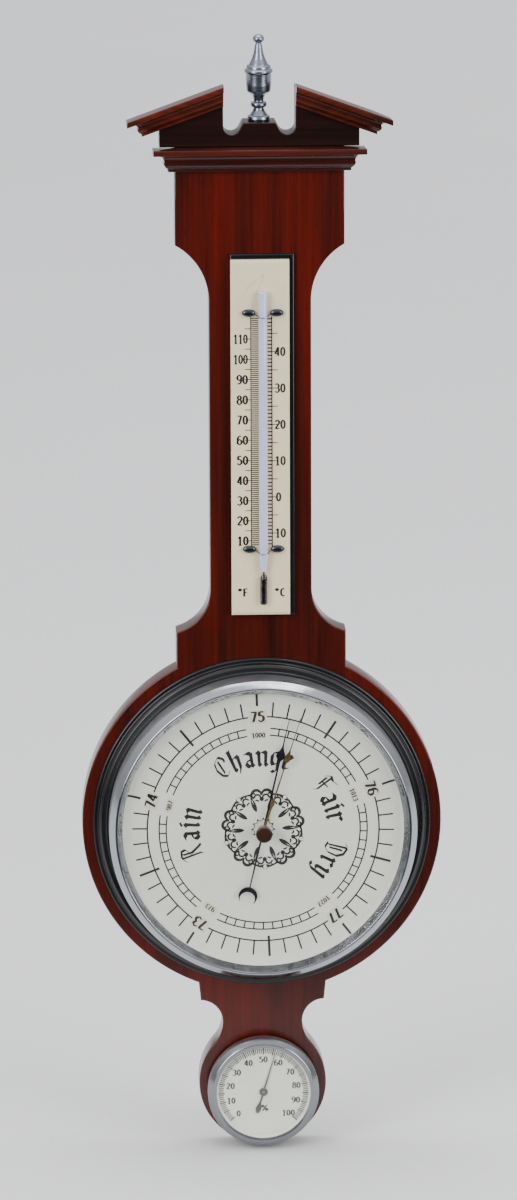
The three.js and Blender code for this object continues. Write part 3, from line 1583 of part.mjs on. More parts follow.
piece("thermometer_backing", thermometerBacking(), "blackLacquer");
piece("scale_plate", scalePlate(), "cream");
piece("thermometer_tube", thermometerTube(), "opal");
piece("thermometer_liquid", thermometerLiquid(), "mercury");
for (const [name, x, z] of clipPins) {
  piece("clip_pin_" + name, clipPin(x, z), "steel");
}
piece("clip_wire_lower", clipWire(CLIP_LOW_Z), "steel");
piece("clip_wire_upper", clipWire(CLIP_HIGH_Z), "steel");

piece("surround_ring", surroundRing(), "blackLacquer");
piece("instrument_case", instrumentCase(), "steel");
caseScrews.forEach((place, i) => piece("case_screw_" + (i + 1), caseScrew(place), "steel"));
piece("bezel", bezel(), "chrome");
piece("reflector_ring", reflectorRing(), "chrome");
piece("barometer_glass", barometerGlass(), "glass");
piece("dial_plate", dialPlate(), "dial");

piece("movement_base", basePlate(), "brass");
piece("adjusting_screw", adjustingScrew(), "steel");
piece("aneroid_capsule", aneroidCapsule(), "brass");
piece("capsule_stud", capsuleStud(), "steel");
piece("rocker_bracket_lower", rockerBracket(-1), "brass");
piece("rocker_bracket_upper", rockerBracket(1), "brass");
piece("rocking_shaft", rockingShaft(), "steel");
piece("movement_plate_back", backMovementPlate(), "brass");
piece("movement_plate_front", frontMovementPlate(), "brass");
pillars.forEach((place, i) => piece("movement_pillar_" + (i + 1), movementPillar(place), "brass"));
piece("sector_gear", sectorGear(), "brass");
piece("sector_arbor", sectorArbor(), "steel");
piece("pointer_arbor", pointerArbor(), "steel");
piece("hairspring", hairspring(), "blued");

piece("pressure_hand", pressureHand(), "blued");
piece("set_hand", setHand(), "brass");
piece("set_knob", setKnob(), "chrome");
piece("knob_bush", knobBush(), "brass");

piece("hygrometer_case", hygrometerCase(), "steel");
piece("hygrometer_bezel", hygrometerBezel(), "chrome");
piece("hygrometer_glass", hygrometerGlass(), "glass");
piece("hygrometer_dial", hygrometerDial(), "dial");
piece("hygrometer_hand", hygrometerHand(), "blued");
piece("hygrometer_arbor", hygrometerArbor(), "steel");
piece("humidity_coil", humidityCoil(), "brass");

export default barometer;
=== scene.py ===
# %% [markdown]
# A mahogany wall barometer, dressed for the eye
#
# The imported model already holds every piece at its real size, and it knows what moves. What it
# lacks is the surface: figured wood, pitted chrome, printed scales and hands cut from thin sheet.
# This lesson lays those over the model. A coarse piece is replaced by a finer one in the same
# place, and a piece that is already right only gets its finish.

# %% Load the fixed model
import math

import bmesh
import bpy
import numpy as np
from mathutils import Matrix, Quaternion, Vector
from mathutils.geometry import tessellate_polygon


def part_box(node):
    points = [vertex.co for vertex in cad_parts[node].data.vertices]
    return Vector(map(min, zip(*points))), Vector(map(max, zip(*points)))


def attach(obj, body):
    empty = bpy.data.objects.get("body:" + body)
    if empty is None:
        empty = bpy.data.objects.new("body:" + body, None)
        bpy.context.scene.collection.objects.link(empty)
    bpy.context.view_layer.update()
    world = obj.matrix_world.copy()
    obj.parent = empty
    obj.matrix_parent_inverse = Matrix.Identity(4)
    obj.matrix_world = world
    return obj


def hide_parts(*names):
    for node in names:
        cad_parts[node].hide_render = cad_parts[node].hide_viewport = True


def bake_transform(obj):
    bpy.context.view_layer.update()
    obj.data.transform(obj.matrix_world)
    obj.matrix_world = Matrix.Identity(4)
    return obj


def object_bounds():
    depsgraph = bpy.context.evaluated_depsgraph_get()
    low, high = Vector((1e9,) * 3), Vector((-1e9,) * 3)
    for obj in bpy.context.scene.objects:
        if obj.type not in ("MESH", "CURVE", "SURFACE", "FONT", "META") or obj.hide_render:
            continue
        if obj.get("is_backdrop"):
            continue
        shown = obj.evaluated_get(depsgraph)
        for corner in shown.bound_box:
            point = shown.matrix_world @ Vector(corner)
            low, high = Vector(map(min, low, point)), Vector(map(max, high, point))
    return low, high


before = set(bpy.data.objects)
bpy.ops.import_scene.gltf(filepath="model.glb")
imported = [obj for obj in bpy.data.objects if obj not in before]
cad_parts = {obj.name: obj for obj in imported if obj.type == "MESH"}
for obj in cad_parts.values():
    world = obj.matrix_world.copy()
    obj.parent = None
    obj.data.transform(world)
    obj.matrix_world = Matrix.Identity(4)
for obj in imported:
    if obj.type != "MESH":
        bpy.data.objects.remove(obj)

MM = 0.001  # every size below is in millimetres, and Blender works in metres
cad_low, cad_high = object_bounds()
dial_low, dial_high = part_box("dial_plate")
AXIS_Z = (dial_low.z + dial_high.z) / 2  # height of the dial's axis, from which heights are counted
AXIS = np.array([0, 0, AXIS_Z])
print("model from", tuple(cad_low), "to", tuple(cad_high))

# %% [markdown]
# The instrument is drawn about the axis of its big dial, because nearly everything is centred on
# it: x to the right, y into the wall, z up, in millimetres. Two small helpers carry sizes across.
# One reads a node's box in these units, and the other puts finished points where the model is.

# %% Places on the model
def reach(node):
    """The lowest and the highest corner of a node, in millimetres from the dial's axis."""
    low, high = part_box(node)
    return (np.array(low) - AXIS) / MM, (np.array(high) - AXIS) / MM


board_low, board_high = reach("case_board")
BOARD_FRONT = board_low[1]
BODY_R = (board_high[0] - board_low[0]) / 2
print("the board is", round(2 * BODY_R, 1), "mm wide, with its front at y =", round(BOARD_FRONT, 2))

# %% [markdown]
# Every new surface is a grid of points: rows along one parameter, columns along the other. The
# faces of a grid are always the same quads, so they are worked out once, as whole arrays. A piece
# then gets its points, has its seams and poles merged, its faces turned outwards, and its sharp
# edges marked by the angle between faces.

# %% From a grid of points to a piece
def grid_faces(rows, columns, wrap_rows=False, wrap_columns=True):
    """Each quad joins point (i, j) to (i, j + 1), (i + 1, j + 1) and (i + 1, j)."""
    i = np.arange(rows if wrap_rows else rows - 1)[:, None]
    j = np.arange(columns if wrap_columns else columns - 1)[None, :]
    k, n = (i + 1) % rows, (j + 1) % columns
    corners = [i * columns + j, i * columns + n, k * columns + n, k * columns + j]
    return np.stack([c + 0 * (i + j) for c in corners], axis=-1).reshape(-1, 4).tolist()


SHARP = 32  # degrees between two faces from which their edge is sharp


def shaded(mesh, sharp=SHARP):
    """Smooth faces, with a sharp edge where two of them meet at more than so many degrees."""
    mesh.shade_smooth()
    mesh.set_sharp_from_angle(angle=math.radians(sharp))


def piece(name, points, faces, material, body="case", sharp=SHARP, closed=True):
    """Point p in millimetres goes to p / 1000 + (0, 0, height of the dial's axis) in metres."""
    mesh = bpy.data.meshes.new(name)
    mesh.from_pydata((np.asarray(points, float) * MM + AXIS).tolist(), [], faces)
    if closed:
        shell = bmesh.new()
        shell.from_mesh(mesh)
        bmesh.ops.remove_doubles(shell, verts=shell.verts, dist=2e-7)
        bmesh.ops.recalc_face_normals(shell, faces=shell.faces)
        shell.to_mesh(mesh)
        shell.free()
    shaded(mesh, sharp)
    mesh.materials.append(material)
    made = bpy.data.objects.new(name, mesh)
    bpy.context.collection.objects.link(made)
    if body:
        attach(made, body)
    return made


def refinish(target, material, chosen):
    """Gives a second material to the faces whose middles, in millimetres, pass the test."""
    target.data.materials.append(material)
    middles = np.empty(3 * len(target.data.polygons))
    target.data.polygons.foreach_get("center", middles)
    middles = (middles.reshape(-1, 3) - AXIS) / MM
    target.data.polygons.foreach_set("material_index", chosen(middles).astype(np.int32))


def joined(*parts):
    """Several (points, faces) pairs as one, each face list shifted past earlier points."""
    points = [np.asarray(p, float).reshape(-1, 3) for p, _ in parts]
    starts = np.cumsum([0] + [len(p) for p in points[:-1]]).tolist()
    faces = [[start + v for v in face] for start, (_, own) in zip(starts, parts) for face in own]
    return np.concatenate(points), faces


# %% [markdown]
# Hardly any real edge is a knife edge. Wood is sanded, metal is pressed round a die, and that
# small round is what catches the light. So outlines are given as a few corners with a radius at
# each, and this helper turns each corner into an arc.

# %% Rounded corners
SIDE_SHARE = 0.499  # a rounding uses up nearly half of a short side at most


def softened(corners, radii, steps=5, closed=True):
    """Between the points A and B where a circle touches the two sides of corner P, the outline runs
    along ((1-t)^2 A + 2t(1-t) w P + t^2 B) / ((1-t)^2 + 2t(1-t) w + t^2), a true arc when w is the
    sine of half the angle at P."""
    at = np.asarray(corners, float)
    radii = np.broadcast_to(np.asarray(radii, float), len(at)).copy()
    if not closed:
        radii[[0, -1]] = 0
    back, ahead = np.roll(at, 1, axis=0) - at, np.roll(at, -1, axis=0) - at
    back_long = np.linalg.norm(back, axis=1, keepdims=True) + 1e-12
    ahead_long = np.linalg.norm(ahead, axis=1, keepdims=True) + 1e-12
    back, ahead = back / back_long, ahead / ahead_long
    half = np.arccos(np.clip((back * ahead).sum(axis=1), -1, 1)) / 2
    long = np.minimum(radii / np.maximum(np.tan(half), 1e-6),
                      SIDE_SHARE * np.minimum(back_long, ahead_long)[:, 0])
    start, end = at + back * long[:, None], at + ahead * long[:, None]
    t = np.linspace(0, 1, steps + 1)[None, :, None]
    pull = 2 * t * (1 - t) * np.sin(half)[:, None, None]
    top = (1 - t) ** 2 * start[:, None] + pull * at[:, None] + t**2 * end[:, None]
    path = (top / ((1 - t) ** 2 + pull + t**2)).reshape(-1, at.shape[1])
    apart = np.linalg.norm(path - np.roll(path, 1, axis=0), axis=1) > 1e-5
    if not closed:
        apart[0] = True
    return path[apart]


def rounded(corners, steps=5, closed=True):
    """Softens corners that are given as (across, along, radius)."""
    table = np.array(corners, float)
    return softened(table[:, :2], table[:, 2], steps, closed)


def rectangle(low, high):
    """The four corners (x, z) of a node's box."""
    return np.array([(low[0], low[2]), (high[0], low[2]), (high[0], high[2]), (low[0], high[2])])


def oval(x, z, rx, rz, start=90, end=450, steps=18):
    """Point t is (x + rx cos t, z + rz sin t), with t from start to end in degrees."""
    t = np.radians(np.linspace(start, end, steps + 1))
    return np.stack([x + rx * np.cos(t), z + rz * np.sin(t)], axis=1)


def arc(x, z, r, start, end, steps):
    return oval(x, z, r, r, start, end, steps)


def circle(x, z, r, steps):
    return arc(x, z, r, 0, 360, steps)[:-1]


def clockwise(points, angle):
    """At clock angle t a point (x, z) goes to (x cos t + z sin t, z cos t - x sin t)."""
    t = np.radians(angle)
    x, z = points[..., 0], points[..., 1]
    return np.stack([x * np.cos(t) + z * np.sin(t), z * np.cos(t) - x * np.sin(t)], axis=-1)


# %% [markdown]
# Three ways of making cover nearly all of the case. A lathe carries a profile round an axis, for
# rings, rims and the finial. A moulding carries its section past a few stations and turns the
# corners by a mitre. A plate is an outline given thickness, with a quarter round along both
# edges.

# %% The lathe
def turned(profile, centre=(0, 0), sides=192, closed=True):
    """Profile point (r, y) at turn t goes to (cx + r sin t, y, cz + r cos t)."""
    profile = np.asarray(profile, float)
    t = np.linspace(0, 2 * np.pi, sides, endpoint=False)[None, :]
    r, y = profile[:, :1], profile[:, 1:]
    points = np.stack([centre[0] + r * np.sin(t), y + 0 * t, centre[1] + r * np.cos(t)], axis=-1)
    return points.reshape(-1, 3), grid_faces(len(profile), sides, wrap_rows=closed)


def turned_upright(profile, x, y, z, sides=96):
    """Profile point (r, h) at turn t goes to (x + r cos t, y + r sin t, z + h)."""
    profile = np.asarray(profile, float)
    t = np.linspace(0, 2 * np.pi, sides, endpoint=False)[None, :]
    r, h = profile[:, :1], profile[:, 1:]
    points = np.stack([x + r * np.cos(t), y + r * np.sin(t), z + h + 0 * t], axis=-1)
    return points.reshape(-1, 3), grid_faces(len(profile), sides)


# %% The moulding
def filled(*loops):
    """Triangles that fill the first loop of (x, z) points, leaving out the other loops."""
    flat = [[Vector((x, z, 0)) for x, z in loop] for loop in loops]
    return [list(triangle) for triangle in tessellate_polygon(flat)]


def swept(profile, stations):
    """Each station sends section point (out, down) to a point in space, and the section's outline
    is joined from one station to the next. Both ends are closed with flat faces."""
    out, down = np.asarray(profile, float).T
    rows = np.stack([station(out, down) for station in stations])
    cap, last = filled(profile), (len(stations) - 1) * len(profile)
    faces = grid_faces(len(stations), len(profile)) + cap + [[last + v for v in tri] for tri in cap]
    return rows.reshape(-1, 3), faces


# %% The plate
FACE_EDGE = 0.3  # width of the first ring of a flat face


def inset(outline, by):
    """Each point moves inwards along the mean of its sides' normals, by / cos of half the turn."""
    ahead = np.roll(outline, -1, axis=0) - outline
    ahead /= np.linalg.norm(ahead, axis=1, keepdims=True)
    turn = np.sign(np.cross(outline, np.roll(outline, -1, axis=0)).sum())
    normal = turn * np.stack([-ahead[:, 1], ahead[:, 0]], axis=1)
    both = normal + np.roll(normal, 1, axis=0)
    return outline + by * both / (0.5 * (both * both).sum(axis=1, keepdims=True))


def layered(outline, rings, holes=()):
    """The outline moved inwards and in depth, ring by ring. The first and last ring are filled with
    triangles round the holes, and each hole gets a straight wall."""
    shaped = [np.insert(inset(outline, by), 1, y, axis=1) for by, y in rings]
    faces = grid_faces(len(rings), len(outline))
    points, count = list(shaped), len(rings) * len(outline)
    starts = [[0], [count - len(outline)]]
    for hole in holes:
        for own, (_, y) in zip(starts, (rings[0], rings[-1])):
            own.append(count)
            points.append(np.insert(hole, 1, y, axis=1))
            count += len(hole)
        faces += [[v + starts[0][-1] for v in quad] for quad in grid_faces(2, len(hole))]
    for own, ring in zip(starts, (shaped[0], shaped[-1])):
        loops = [ring[:, [0, 2]], *holes]
        numbers = np.concatenate([np.arange(len(loop)) + base for loop, base in zip(loops, own)])
        faces += [[int(numbers[v]) for v in tri] for tri in filled(*loops)]
    return np.concatenate(points), faces


def plate(outline, back, front, back_round, front_round, holes=(), steps=4):
    """Rings of the outline go from the back face round the edge to the front face. Along a quarter
    round of radius r the inset is r (1 - cos t) and the depth r (1 - sin t)."""
    turns = np.linspace(0, np.pi / 2, steps + 1)
    rings = [(back_round + FACE_EDGE, back)]
    rings += [(back_round * (1 - math.cos(t)), back - back_round * (1 - math.sin(t)))
              for t in turns[::-1]]
    rings += [(front_round * (1 - math.cos(t)), front + front_round * (1 - math.sin(t)))
              for t in turns]
    rings.append((front_round + FACE_EDGE, front))
    return layered(outline, rings, holes)


print("tools ready: lathe, moulding and plate")

# %% [markdown]
# The camera comes first, because it decides what has to be fine. The picture is a long, narrow
# frame taken from a little above and a little to the left, from about four metres. The lens is
# worked out from the frame, and the camera is then turned until the middle of the dial falls on
# its own place in the picture.

# %% The camera
FRAME_WIDE, FRAME_HIGH = 517, 1200  # the picture, in pixels
DIAL_AT_X, DIAL_AT_Y = 263.2, 828.8  # where the middle of the dial lies in it
FOCAL_PIXELS = 6774.2
VIEW_DISTANCE = 4200
VIEW_LEFT = math.radians(2.5)
VIEW_ABOVE = math.radians(15.4)
VIEW_ROLL = math.radians(-0.2)
SENSOR = 24

aim = Vector((0, -37.7 * MM, AXIS_Z))  # the middle of the dial's face
level = math.cos(VIEW_ABOVE)
away = Vector((-math.sin(VIEW_LEFT) * level, -math.cos(VIEW_LEFT) * level, math.sin(VIEW_ABOVE)))
lens = bpy.data.cameras.new("camera")
lens.sensor_fit = "VERTICAL"
lens.sensor_height = SENSOR
lens.lens = FOCAL_PIXELS / FRAME_HIGH * SENSOR
camera = bpy.data.objects.new("camera", lens)
bpy.context.collection.objects.link(camera)
camera.location = aim + away * VIEW_DISTANCE * MM
off_axis = Vector((DIAL_AT_X - FRAME_WIDE / 2, FRAME_HIGH / 2 - DIAL_AT_Y, -FOCAL_PIXELS))
off_axis.normalize()
swing = Vector((0, 0, -1)).rotation_difference(off_axis)
turn = (-away).to_track_quat("-Z", "Y") @ Quaternion((0, 0, 1), VIEW_ROLL) @ swing.inverted()
camera.rotation_euler = turn.to_euler()
bpy.context.scene.camera = camera
print("camera", round(VIEW_DISTANCE / 1000, 2), "m away, lens", round(lens.lens, 1), "mm")

# %% [markdown]
# The stage is one pale floor just under the instrument, so wide that it fills the picture. The
# light is that of a studio with large soft boxes: one to the left, one to the right and a wide
# one overhead, in a grey room that is lighter above. Polished wood and chrome show little of
# their own, and mostly show this room, so the boxes are placed for their reflections and the room
# for the even level.

# %% The floor
FLOOR_GAP = 1.5  # clear of the lowest point
FLOOR_HALF = 30
floor_z = cad_low.z - FLOOR_GAP * MM
corners = [(-FLOOR_HALF, -FLOOR_HALF), (FLOOR_HALF, -FLOOR_HALF), (FLOOR_HALF, FLOOR_HALF),
           (-FLOOR_HALF, FLOOR_HALF)]
floor_mesh = bpy.data.meshes.new("floor")
floor_mesh.from_pydata([(x, y, floor_z) for x, y in corners], [], [(0, 1, 2, 3)])
floor = bpy.data.objects.new("floor", floor_mesh)
bpy.context.collection.objects.link(floor)
floor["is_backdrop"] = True


# %% Small helpers for node trees
def rgb(r, g, b):
    """A colour as it is seen on a screen, 0 to 255, as the linear values that nodes take."""
    c = np.array([r, g, b]) / 255
    linear = np.where(c <= 0.04045, c / 12.92, ((c + 0.055) / 1.055) ** 2.4)
    return (*linear.tolist(), 1.0)


def plug(tree, socket, value):
    """Links another node's output to the socket, or gives the socket a plain value."""
    if isinstance(value, bpy.types.NodeSocket):
        tree.links.new(value, socket)
    else:
        socket.default_value = value


def node(tree, kind, inputs=None, **settings):
    """Adds a node, sets its options by name and its input sockets by name or number."""
    made = tree.nodes.new(kind)
    for name, value in settings.items():
        setattr(made, name, value)
    for name, value in (inputs or {}).items():
        plug(tree, made.inputs[name], value)
    return made


def ramp(tree, factor, *stops):
    """A colour ramp through (place, colour) stops."""
    made = node(tree, "ShaderNodeValToRGB", {"Fac": factor})
    line = made.color_ramp.elements
    line[0].position, line[0].color = stops[0]
    line[1].position, line[1].color = stops[-1]
    for place, colour in stops[1:-1]:
        line.new(place).color = colour
    return made.outputs["Color"]


def mixed(tree, factor, a, b):
    """Goes from colour a to colour b by a factor."""
    return node(tree, "ShaderNodeMix", {0: factor, 6: a, 7: b}, data_type="RGBA").outputs[2]


def maths(tree, operation, a, b=0.0):
    return node(tree, "ShaderNodeMath", {0: a, 1: b}, operation=operation).outputs[0]


def stepped(tree, value, low, high, to_low=0.0, to_high=1.0, kind="LINEAR"):
    """Maps a value from low..high to to_low..to_high, and holds it there outside."""
    limits = {"From Min": low, "From Max": high, "To Min": to_low, "To Max": to_high}
    return node(tree, "ShaderNodeMapRange", {"Value": value, **limits},
                interpolation_type=kind).outputs[0]


def noise(tree, vector, scale, detail=2.0, rough=0.5, warp=0.0):
    return node(tree, "ShaderNodeTexNoise", {"Vector": vector, "Scale": scale, "Detail": detail,
                                             "Roughness": rough, "Distortion": warp}).outputs["Fac"]


def object_place(tree):
    return node(tree, "ShaderNodeTexCoord").outputs["Object"]


def new_finish(name):
    """A new material, its node tree and its Principled shader."""
    material = bpy.data.materials.new(name)
    material.use_nodes = True
    return material, material.node_tree, material.node_tree.nodes["Principled BSDF"]


def feed(tree, made, **values):
    """Links or sets the sockets of a node, with _ for a space in their names."""
    for name, value in values.items():
        plug(tree, made.inputs[name.replace("_", " ")], value)


# %% The floor's colour
def floor_finish():
    """Pale grey, lighter far back where less light falls. To the camera it is pale everywhere.
    Other rays find it dark in front of the instrument, and polished wood mirrors that."""
    material, tree, shader = new_finish("studio_floor")
    place = object_place(tree)
    part = node(tree, "ShaderNodeSeparateXYZ", {"Vector": place}).outputs
    cloud = maths(tree, "MULTIPLY", maths(tree, "SUBTRACT", noise(tree, place, 3.0), 0.5), 0.2)
    back = maths(tree, "ADD", stepped(tree, part["Y"], 0.0, 4.8), cloud)
    pale = ramp(tree, back, (0.0, rgb(229, 230, 231)), (0.5, rgb(239, 240, 242)),
                (1.0, rgb(251, 252, 254)))
    # Painted shade: the floor's colour falls by up to six per cent towards the left.
    side = stepped(tree, part["X"], -0.5, 0.5, 0.94, 1.0)
    pale = node(tree, "ShaderNodeVectorMath", {0: pale, "Scale": side}, operation="SCALE")
    near = stepped(tree, part["Y"], -0.6, -0.12, kind="SMOOTHSTEP")
    front = stepped(tree, part["Y"], -5.0, -3.2, kind="SMOOTHSTEP")
    dark = mixed(tree, front, (0.075, 0.08, 0.1, 1), (0.02, 0.02, 0.024, 1))
    seen = node(tree, "ShaderNodeLightPath").outputs["Is Camera Ray"]
    colour = mixed(tree, maths(tree, "MAXIMUM", near, seen), dark, pale.outputs[0])
    feed(tree, shader, Base_Color=colour, Roughness=0.9, Specular_IOR_Level=0.1)
    return material


floor_mesh.materials.append(floor_finish())


# %% Lamps and room
def soft_box(name, place, size, power, look_at=(0, -0.02, -0.25)):
    """A rectangular lamp at a place, turned to look at the instrument."""
    lamp = bpy.data.lights.new(name, "AREA")
    lamp.shape = "RECTANGLE"
    lamp.size, lamp.size_y = size
    lamp.energy = power
    made = bpy.data.objects.new(name, lamp)
    made.location = place
    made.rotation_euler = (Vector(look_at) - Vector(place)).to_track_quat("-Z", "Y").to_euler()
    bpy.context.collection.objects.link(made)


soft_box("left_box", (-2.05, -2.3, 0.8), (1.3, 2.4), 74)
soft_box("right_box", (2.15, -2.05, 0.5), (1.2, 2.2), 56)
soft_box("top_box", (0.1, 0.2, 2.6), (2.4, 1.2), 45)

ROOM_LIGHT = 1.15
room = bpy.data.worlds.new("grey_room")
bpy.context.scene.world = room
room.use_nodes = True
sky = room.node_tree
direction = node(sky, "ShaderNodeTexCoord").outputs["Generated"]
height = node(sky, "ShaderNodeSeparateXYZ", {"Vector": direction}).outputs["Z"]
walls = ramp(sky, stepped(sky, height, -0.2, 0.9), (0.0, (0.42, 0.42, 0.43, 1)),
             (0.35, (0.5, 0.5, 0.51, 1)), (1.0, (1.1, 1.11, 1.13, 1)))
feed(sky, sky.nodes["Background"], Color=walls, Strength=ROOM_LIGHT)
print("studio ready: floor, three soft boxes, grey room")

# %% [markdown]
# Wood, metal and paint each have a pattern that belongs to the material and not to one piece: the
# stripes and pores of mahogany, the pits that eat into old plating, the fine rings a lathe
# leaves. Each pattern is made once, as a node group, and every finish that needs it sets its own
# values. The groups read a place in space, so the pattern runs on unbroken through a piece,
# whatever its mesh.

# %% Making a node group
def group(name, inputs, outputs):
    """A shader node group with its sockets, what it is given, and the node at its end."""
    tree = bpy.data.node_groups.new(name, "ShaderNodeTree")
    for label, kind, value in inputs:
        socket = tree.interface.new_socket(label, in_out="INPUT", socket_type=kind)
        if value is not None:
            socket.default_value = value
    for label, kind in outputs:
        tree.interface.new_socket(label, in_out="OUTPUT", socket_type=kind)
    return tree, tree.nodes.new("NodeGroupInput").outputs, tree.nodes.new("NodeGroupOutput")


def placed_group(tree, inner, inputs):
    """Puts a group into a material and gives it its values."""
    return node(tree, "ShaderNodeGroup", inputs, node_tree=inner).outputs


def stretched(tree, vector, scale):
    """A place in space, scaled so that a pattern can run along the grain."""
    return node(tree, "ShaderNodeMapping", {"Vector": vector, "Scale": scale}).outputs[0]


# %% [markdown]
# Mahogany cut on the quarter shows a ribbon: the grain leans one way and then the other, so broad
# bands look dark or bright. Between them run fine lines, and the open pores are short dark
# dashes. All three are the same noise, stretched along the grain, at three widths.

# %% Mahogany figure
def wood_group():
    tree, given, end = group(
        "mahogany_figure",
        [("Place", "NodeSocketVector", None), ("Dark", "NodeSocketColor", None),
         ("Light", "NodeSocketColor", None), ("Red", "NodeSocketColor", None)],
        [("Color", "NodeSocketColor"), ("Rough", "NodeSocketFloat"), ("Height", "NodeSocketFloat")])
    place = given["Place"]
    ribbon = noise(tree, stretched(tree, place, (52, 30, 3.2)), 1.0, 3.0, 0.55, 0.6)
    line = noise(tree, stretched(tree, place, (420, 260, 9)), 1.0, 3.0, 0.6)
    pore = noise(tree, stretched(tree, place, (2300, 1500, 110)), 1.0, 1.0, 0.5)
    cloud = noise(tree, stretched(tree, place, (9, 9, 7)), 1.0, 2.0, 0.5)
    band = maths(tree, "ADD", maths(tree, "MULTIPLY", stepped(tree, ribbon, 0.36, 0.66), 0.62),
                 maths(tree, "MULTIPLY", stepped(tree, line, 0.3, 0.7), 0.38))
    warm = mixed(tree, stepped(tree, cloud, 0.38, 0.62), given["Light"], given["Red"])
    pores = stepped(tree, pore, 0.62, 0.72)
    colour = mixed(tree, maths(tree, "MULTIPLY", pores, 0.55),
                   mixed(tree, band, given["Dark"], warm), given["Dark"])
    feed(tree, end, Color=colour, Rough=stepped(tree, line, 0.2, 0.8, 0.3, 0.42),
         Height=maths(tree, "MULTIPLY", pores, -1.0))
    return tree


# %% [markdown]
# Plating fails in small round pits, crowded in some places and absent in others, and dust and
# fingerprints leave faint cloudy patches. The pits are the middles of scattered cells, kept only
# where a slow noise allows them.

# %% Pits, clouds and lathe rings
def pits_group():
    tree, given, end = group(
        "plating_pits",
        [("Place", "NodeSocketVector", None), ("Scale", "NodeSocketFloat", 900.0),
         ("Amount", "NodeSocketFloat", 0.5)],
        [("Mask", "NodeSocketFloat"), ("Stain", "NodeSocketFloat"), ("Height", "NodeSocketFloat")])

    def cells(scale):
        place = {"Vector": given["Place"], "Scale": scale}
        return node(tree, "ShaderNodeTexVoronoi", place).outputs["Distance"]

    where = noise(tree, given["Place"], 55.0, 3.0, 0.6)
    amount = maths(tree, "MULTIPLY", given["Amount"], 0.4)
    allowed = stepped(tree, maths(tree, "ADD", where, amount), 0.55, 0.8)
    size = maths(tree, "MULTIPLY", allowed, 0.42)
    big = maths(tree, "LESS_THAN", cells(given["Scale"]), size)
    small = maths(tree, "LESS_THAN", cells(maths(tree, "MULTIPLY", given["Scale"], 2.7)),
                  maths(tree, "MULTIPLY", size, 0.8))
    mask = maths(tree, "MAXIMUM", big, small)
    feed(tree, end, Mask=mask, Stain=allowed, Height=maths(tree, "MULTIPLY", mask, -1.0))
    return tree


def rings_group():
    """Fine rings round a lathe's axis: noise read at the distance from the axis and the height."""
    tree, given, end = group(
        "lathe_rings",
        [("Place", "NodeSocketVector", None), ("Rings", "NodeSocketFloat", 2500.0)],
        [("Mask", "NodeSocketFloat"), ("Height", "NodeSocketFloat")])
    part = node(tree, "ShaderNodeSeparateXYZ", {"Vector": given["Place"]}).outputs
    squares = [maths(tree, "MULTIPLY", part[axis], part[axis]) for axis in "XY"]
    radius = maths(tree, "SQRT", maths(tree, "ADD", *squares))
    both = node(tree, "ShaderNodeCombineXYZ", {"X": radius, "Y": part["Z"]}).outputs[0]
    lines = noise(tree, both, given["Rings"])
    feed(tree, end, Mask=lines, Height=lines)
    return tree


WOOD, PITS, RINGS = wood_group(), pits_group(), rings_group()
print("node groups:", [g.name for g in (WOOD, PITS, RINGS)])


# %% Bump
def bumped(tree, shader, height, strength, deep):
    """A height, up to so many millimetres deep, that only bends the light."""
    heights = {"Height": height, "Strength": strength, "Distance": deep * MM}
    feed(tree, shader, Normal=node(tree, "ShaderNodeBump", heights).outputs[0])


# %% Wood finishes
def wood(name, dark, light, red, grain=(0, 0, 0), coat=0.6, shift=(0, 0, 0)):
    """Mahogany under a hard polish: the figure gives the colour, and a clear coat the gloss."""
    material, tree, shader = new_finish(name)
    along = {"Vector": object_place(tree), "Rotation": grain, "Location": shift}
    place = node(tree, "ShaderNodeMapping", along).outputs[0]
    figure = placed_group(tree, WOOD, {"Place": place, "Dark": dark, "Light": light, "Red": red})
    feed(tree, shader, Base_Color=figure["Color"], Roughness=figure["Rough"], Coat_Weight=coat,
         Coat_Roughness=0.12, Coat_IOR=1.45, Specular_IOR_Level=0.2)
    bumped(tree, shader, figure["Height"], 0.25, 0.06)
    return material


ALONG_X = (0, math.radians(90), 0)
board_wood = wood("polished_mahogany", rgb(38, 7, 1), rgb(82, 15, 2), rgb(98, 15, 1),
                  shift=(0.03, 0, 0))
panel_wood = wood("panel_mahogany", rgb(15, 5, 3), rgb(30, 9, 6), rgb(38, 9, 5), ALONG_X, 0.25)
cornice_wood = wood("cornice_mahogany", rgb(34, 11, 7), rgb(76, 27, 17), rgb(84, 26, 13), ALONG_X)
rake_wood = {side: wood("rake_mahogany_" + name, rgb(38, 12, 6), rgb(90, 32, 14), rgb(96, 30, 10),
                        (0, math.radians(90 + 20 * side), 0))
             for side, name in ((-1, "left"), (1, "right"))}


# %% [markdown]
# The metals differ in colour, but mostly in how sharp their reflections are. The bezel is bright
# plating that has dulled and pitted, the sloped ring inside it is worse, the finial is turned and
# keeps faint rings, and the inner works are plain brass and steel.

# %% Metal finishes
def plated(name, colour, rough, pit_scale, pit_amount, pit_colour):
    """Bright plating: pits turn dark and rough, and faint clouds lift the roughness."""
    material, tree, shader = new_finish(name)
    place = object_place(tree)
    pits = placed_group(tree, PITS, {"Place": place, "Scale": pit_scale, "Amount": pit_amount})
    cloud = noise(tree, place, 140.0, 4.0, 0.6)
    haze = maths(tree, "ADD", stepped(tree, cloud, 0.35, 0.75, rough, rough + 0.16),
                 maths(tree, "MULTIPLY", pits["Mask"], 0.45))
    feed(tree, shader, Base_Color=mixed(tree, pits["Mask"], colour, pit_colour), Roughness=haze,
         Metallic=stepped(tree, pits["Mask"], 0.0, 1.0, 1.0, 0.35))
    bumped(tree, shader, pits["Height"], 0.35, 0.08)
    return material


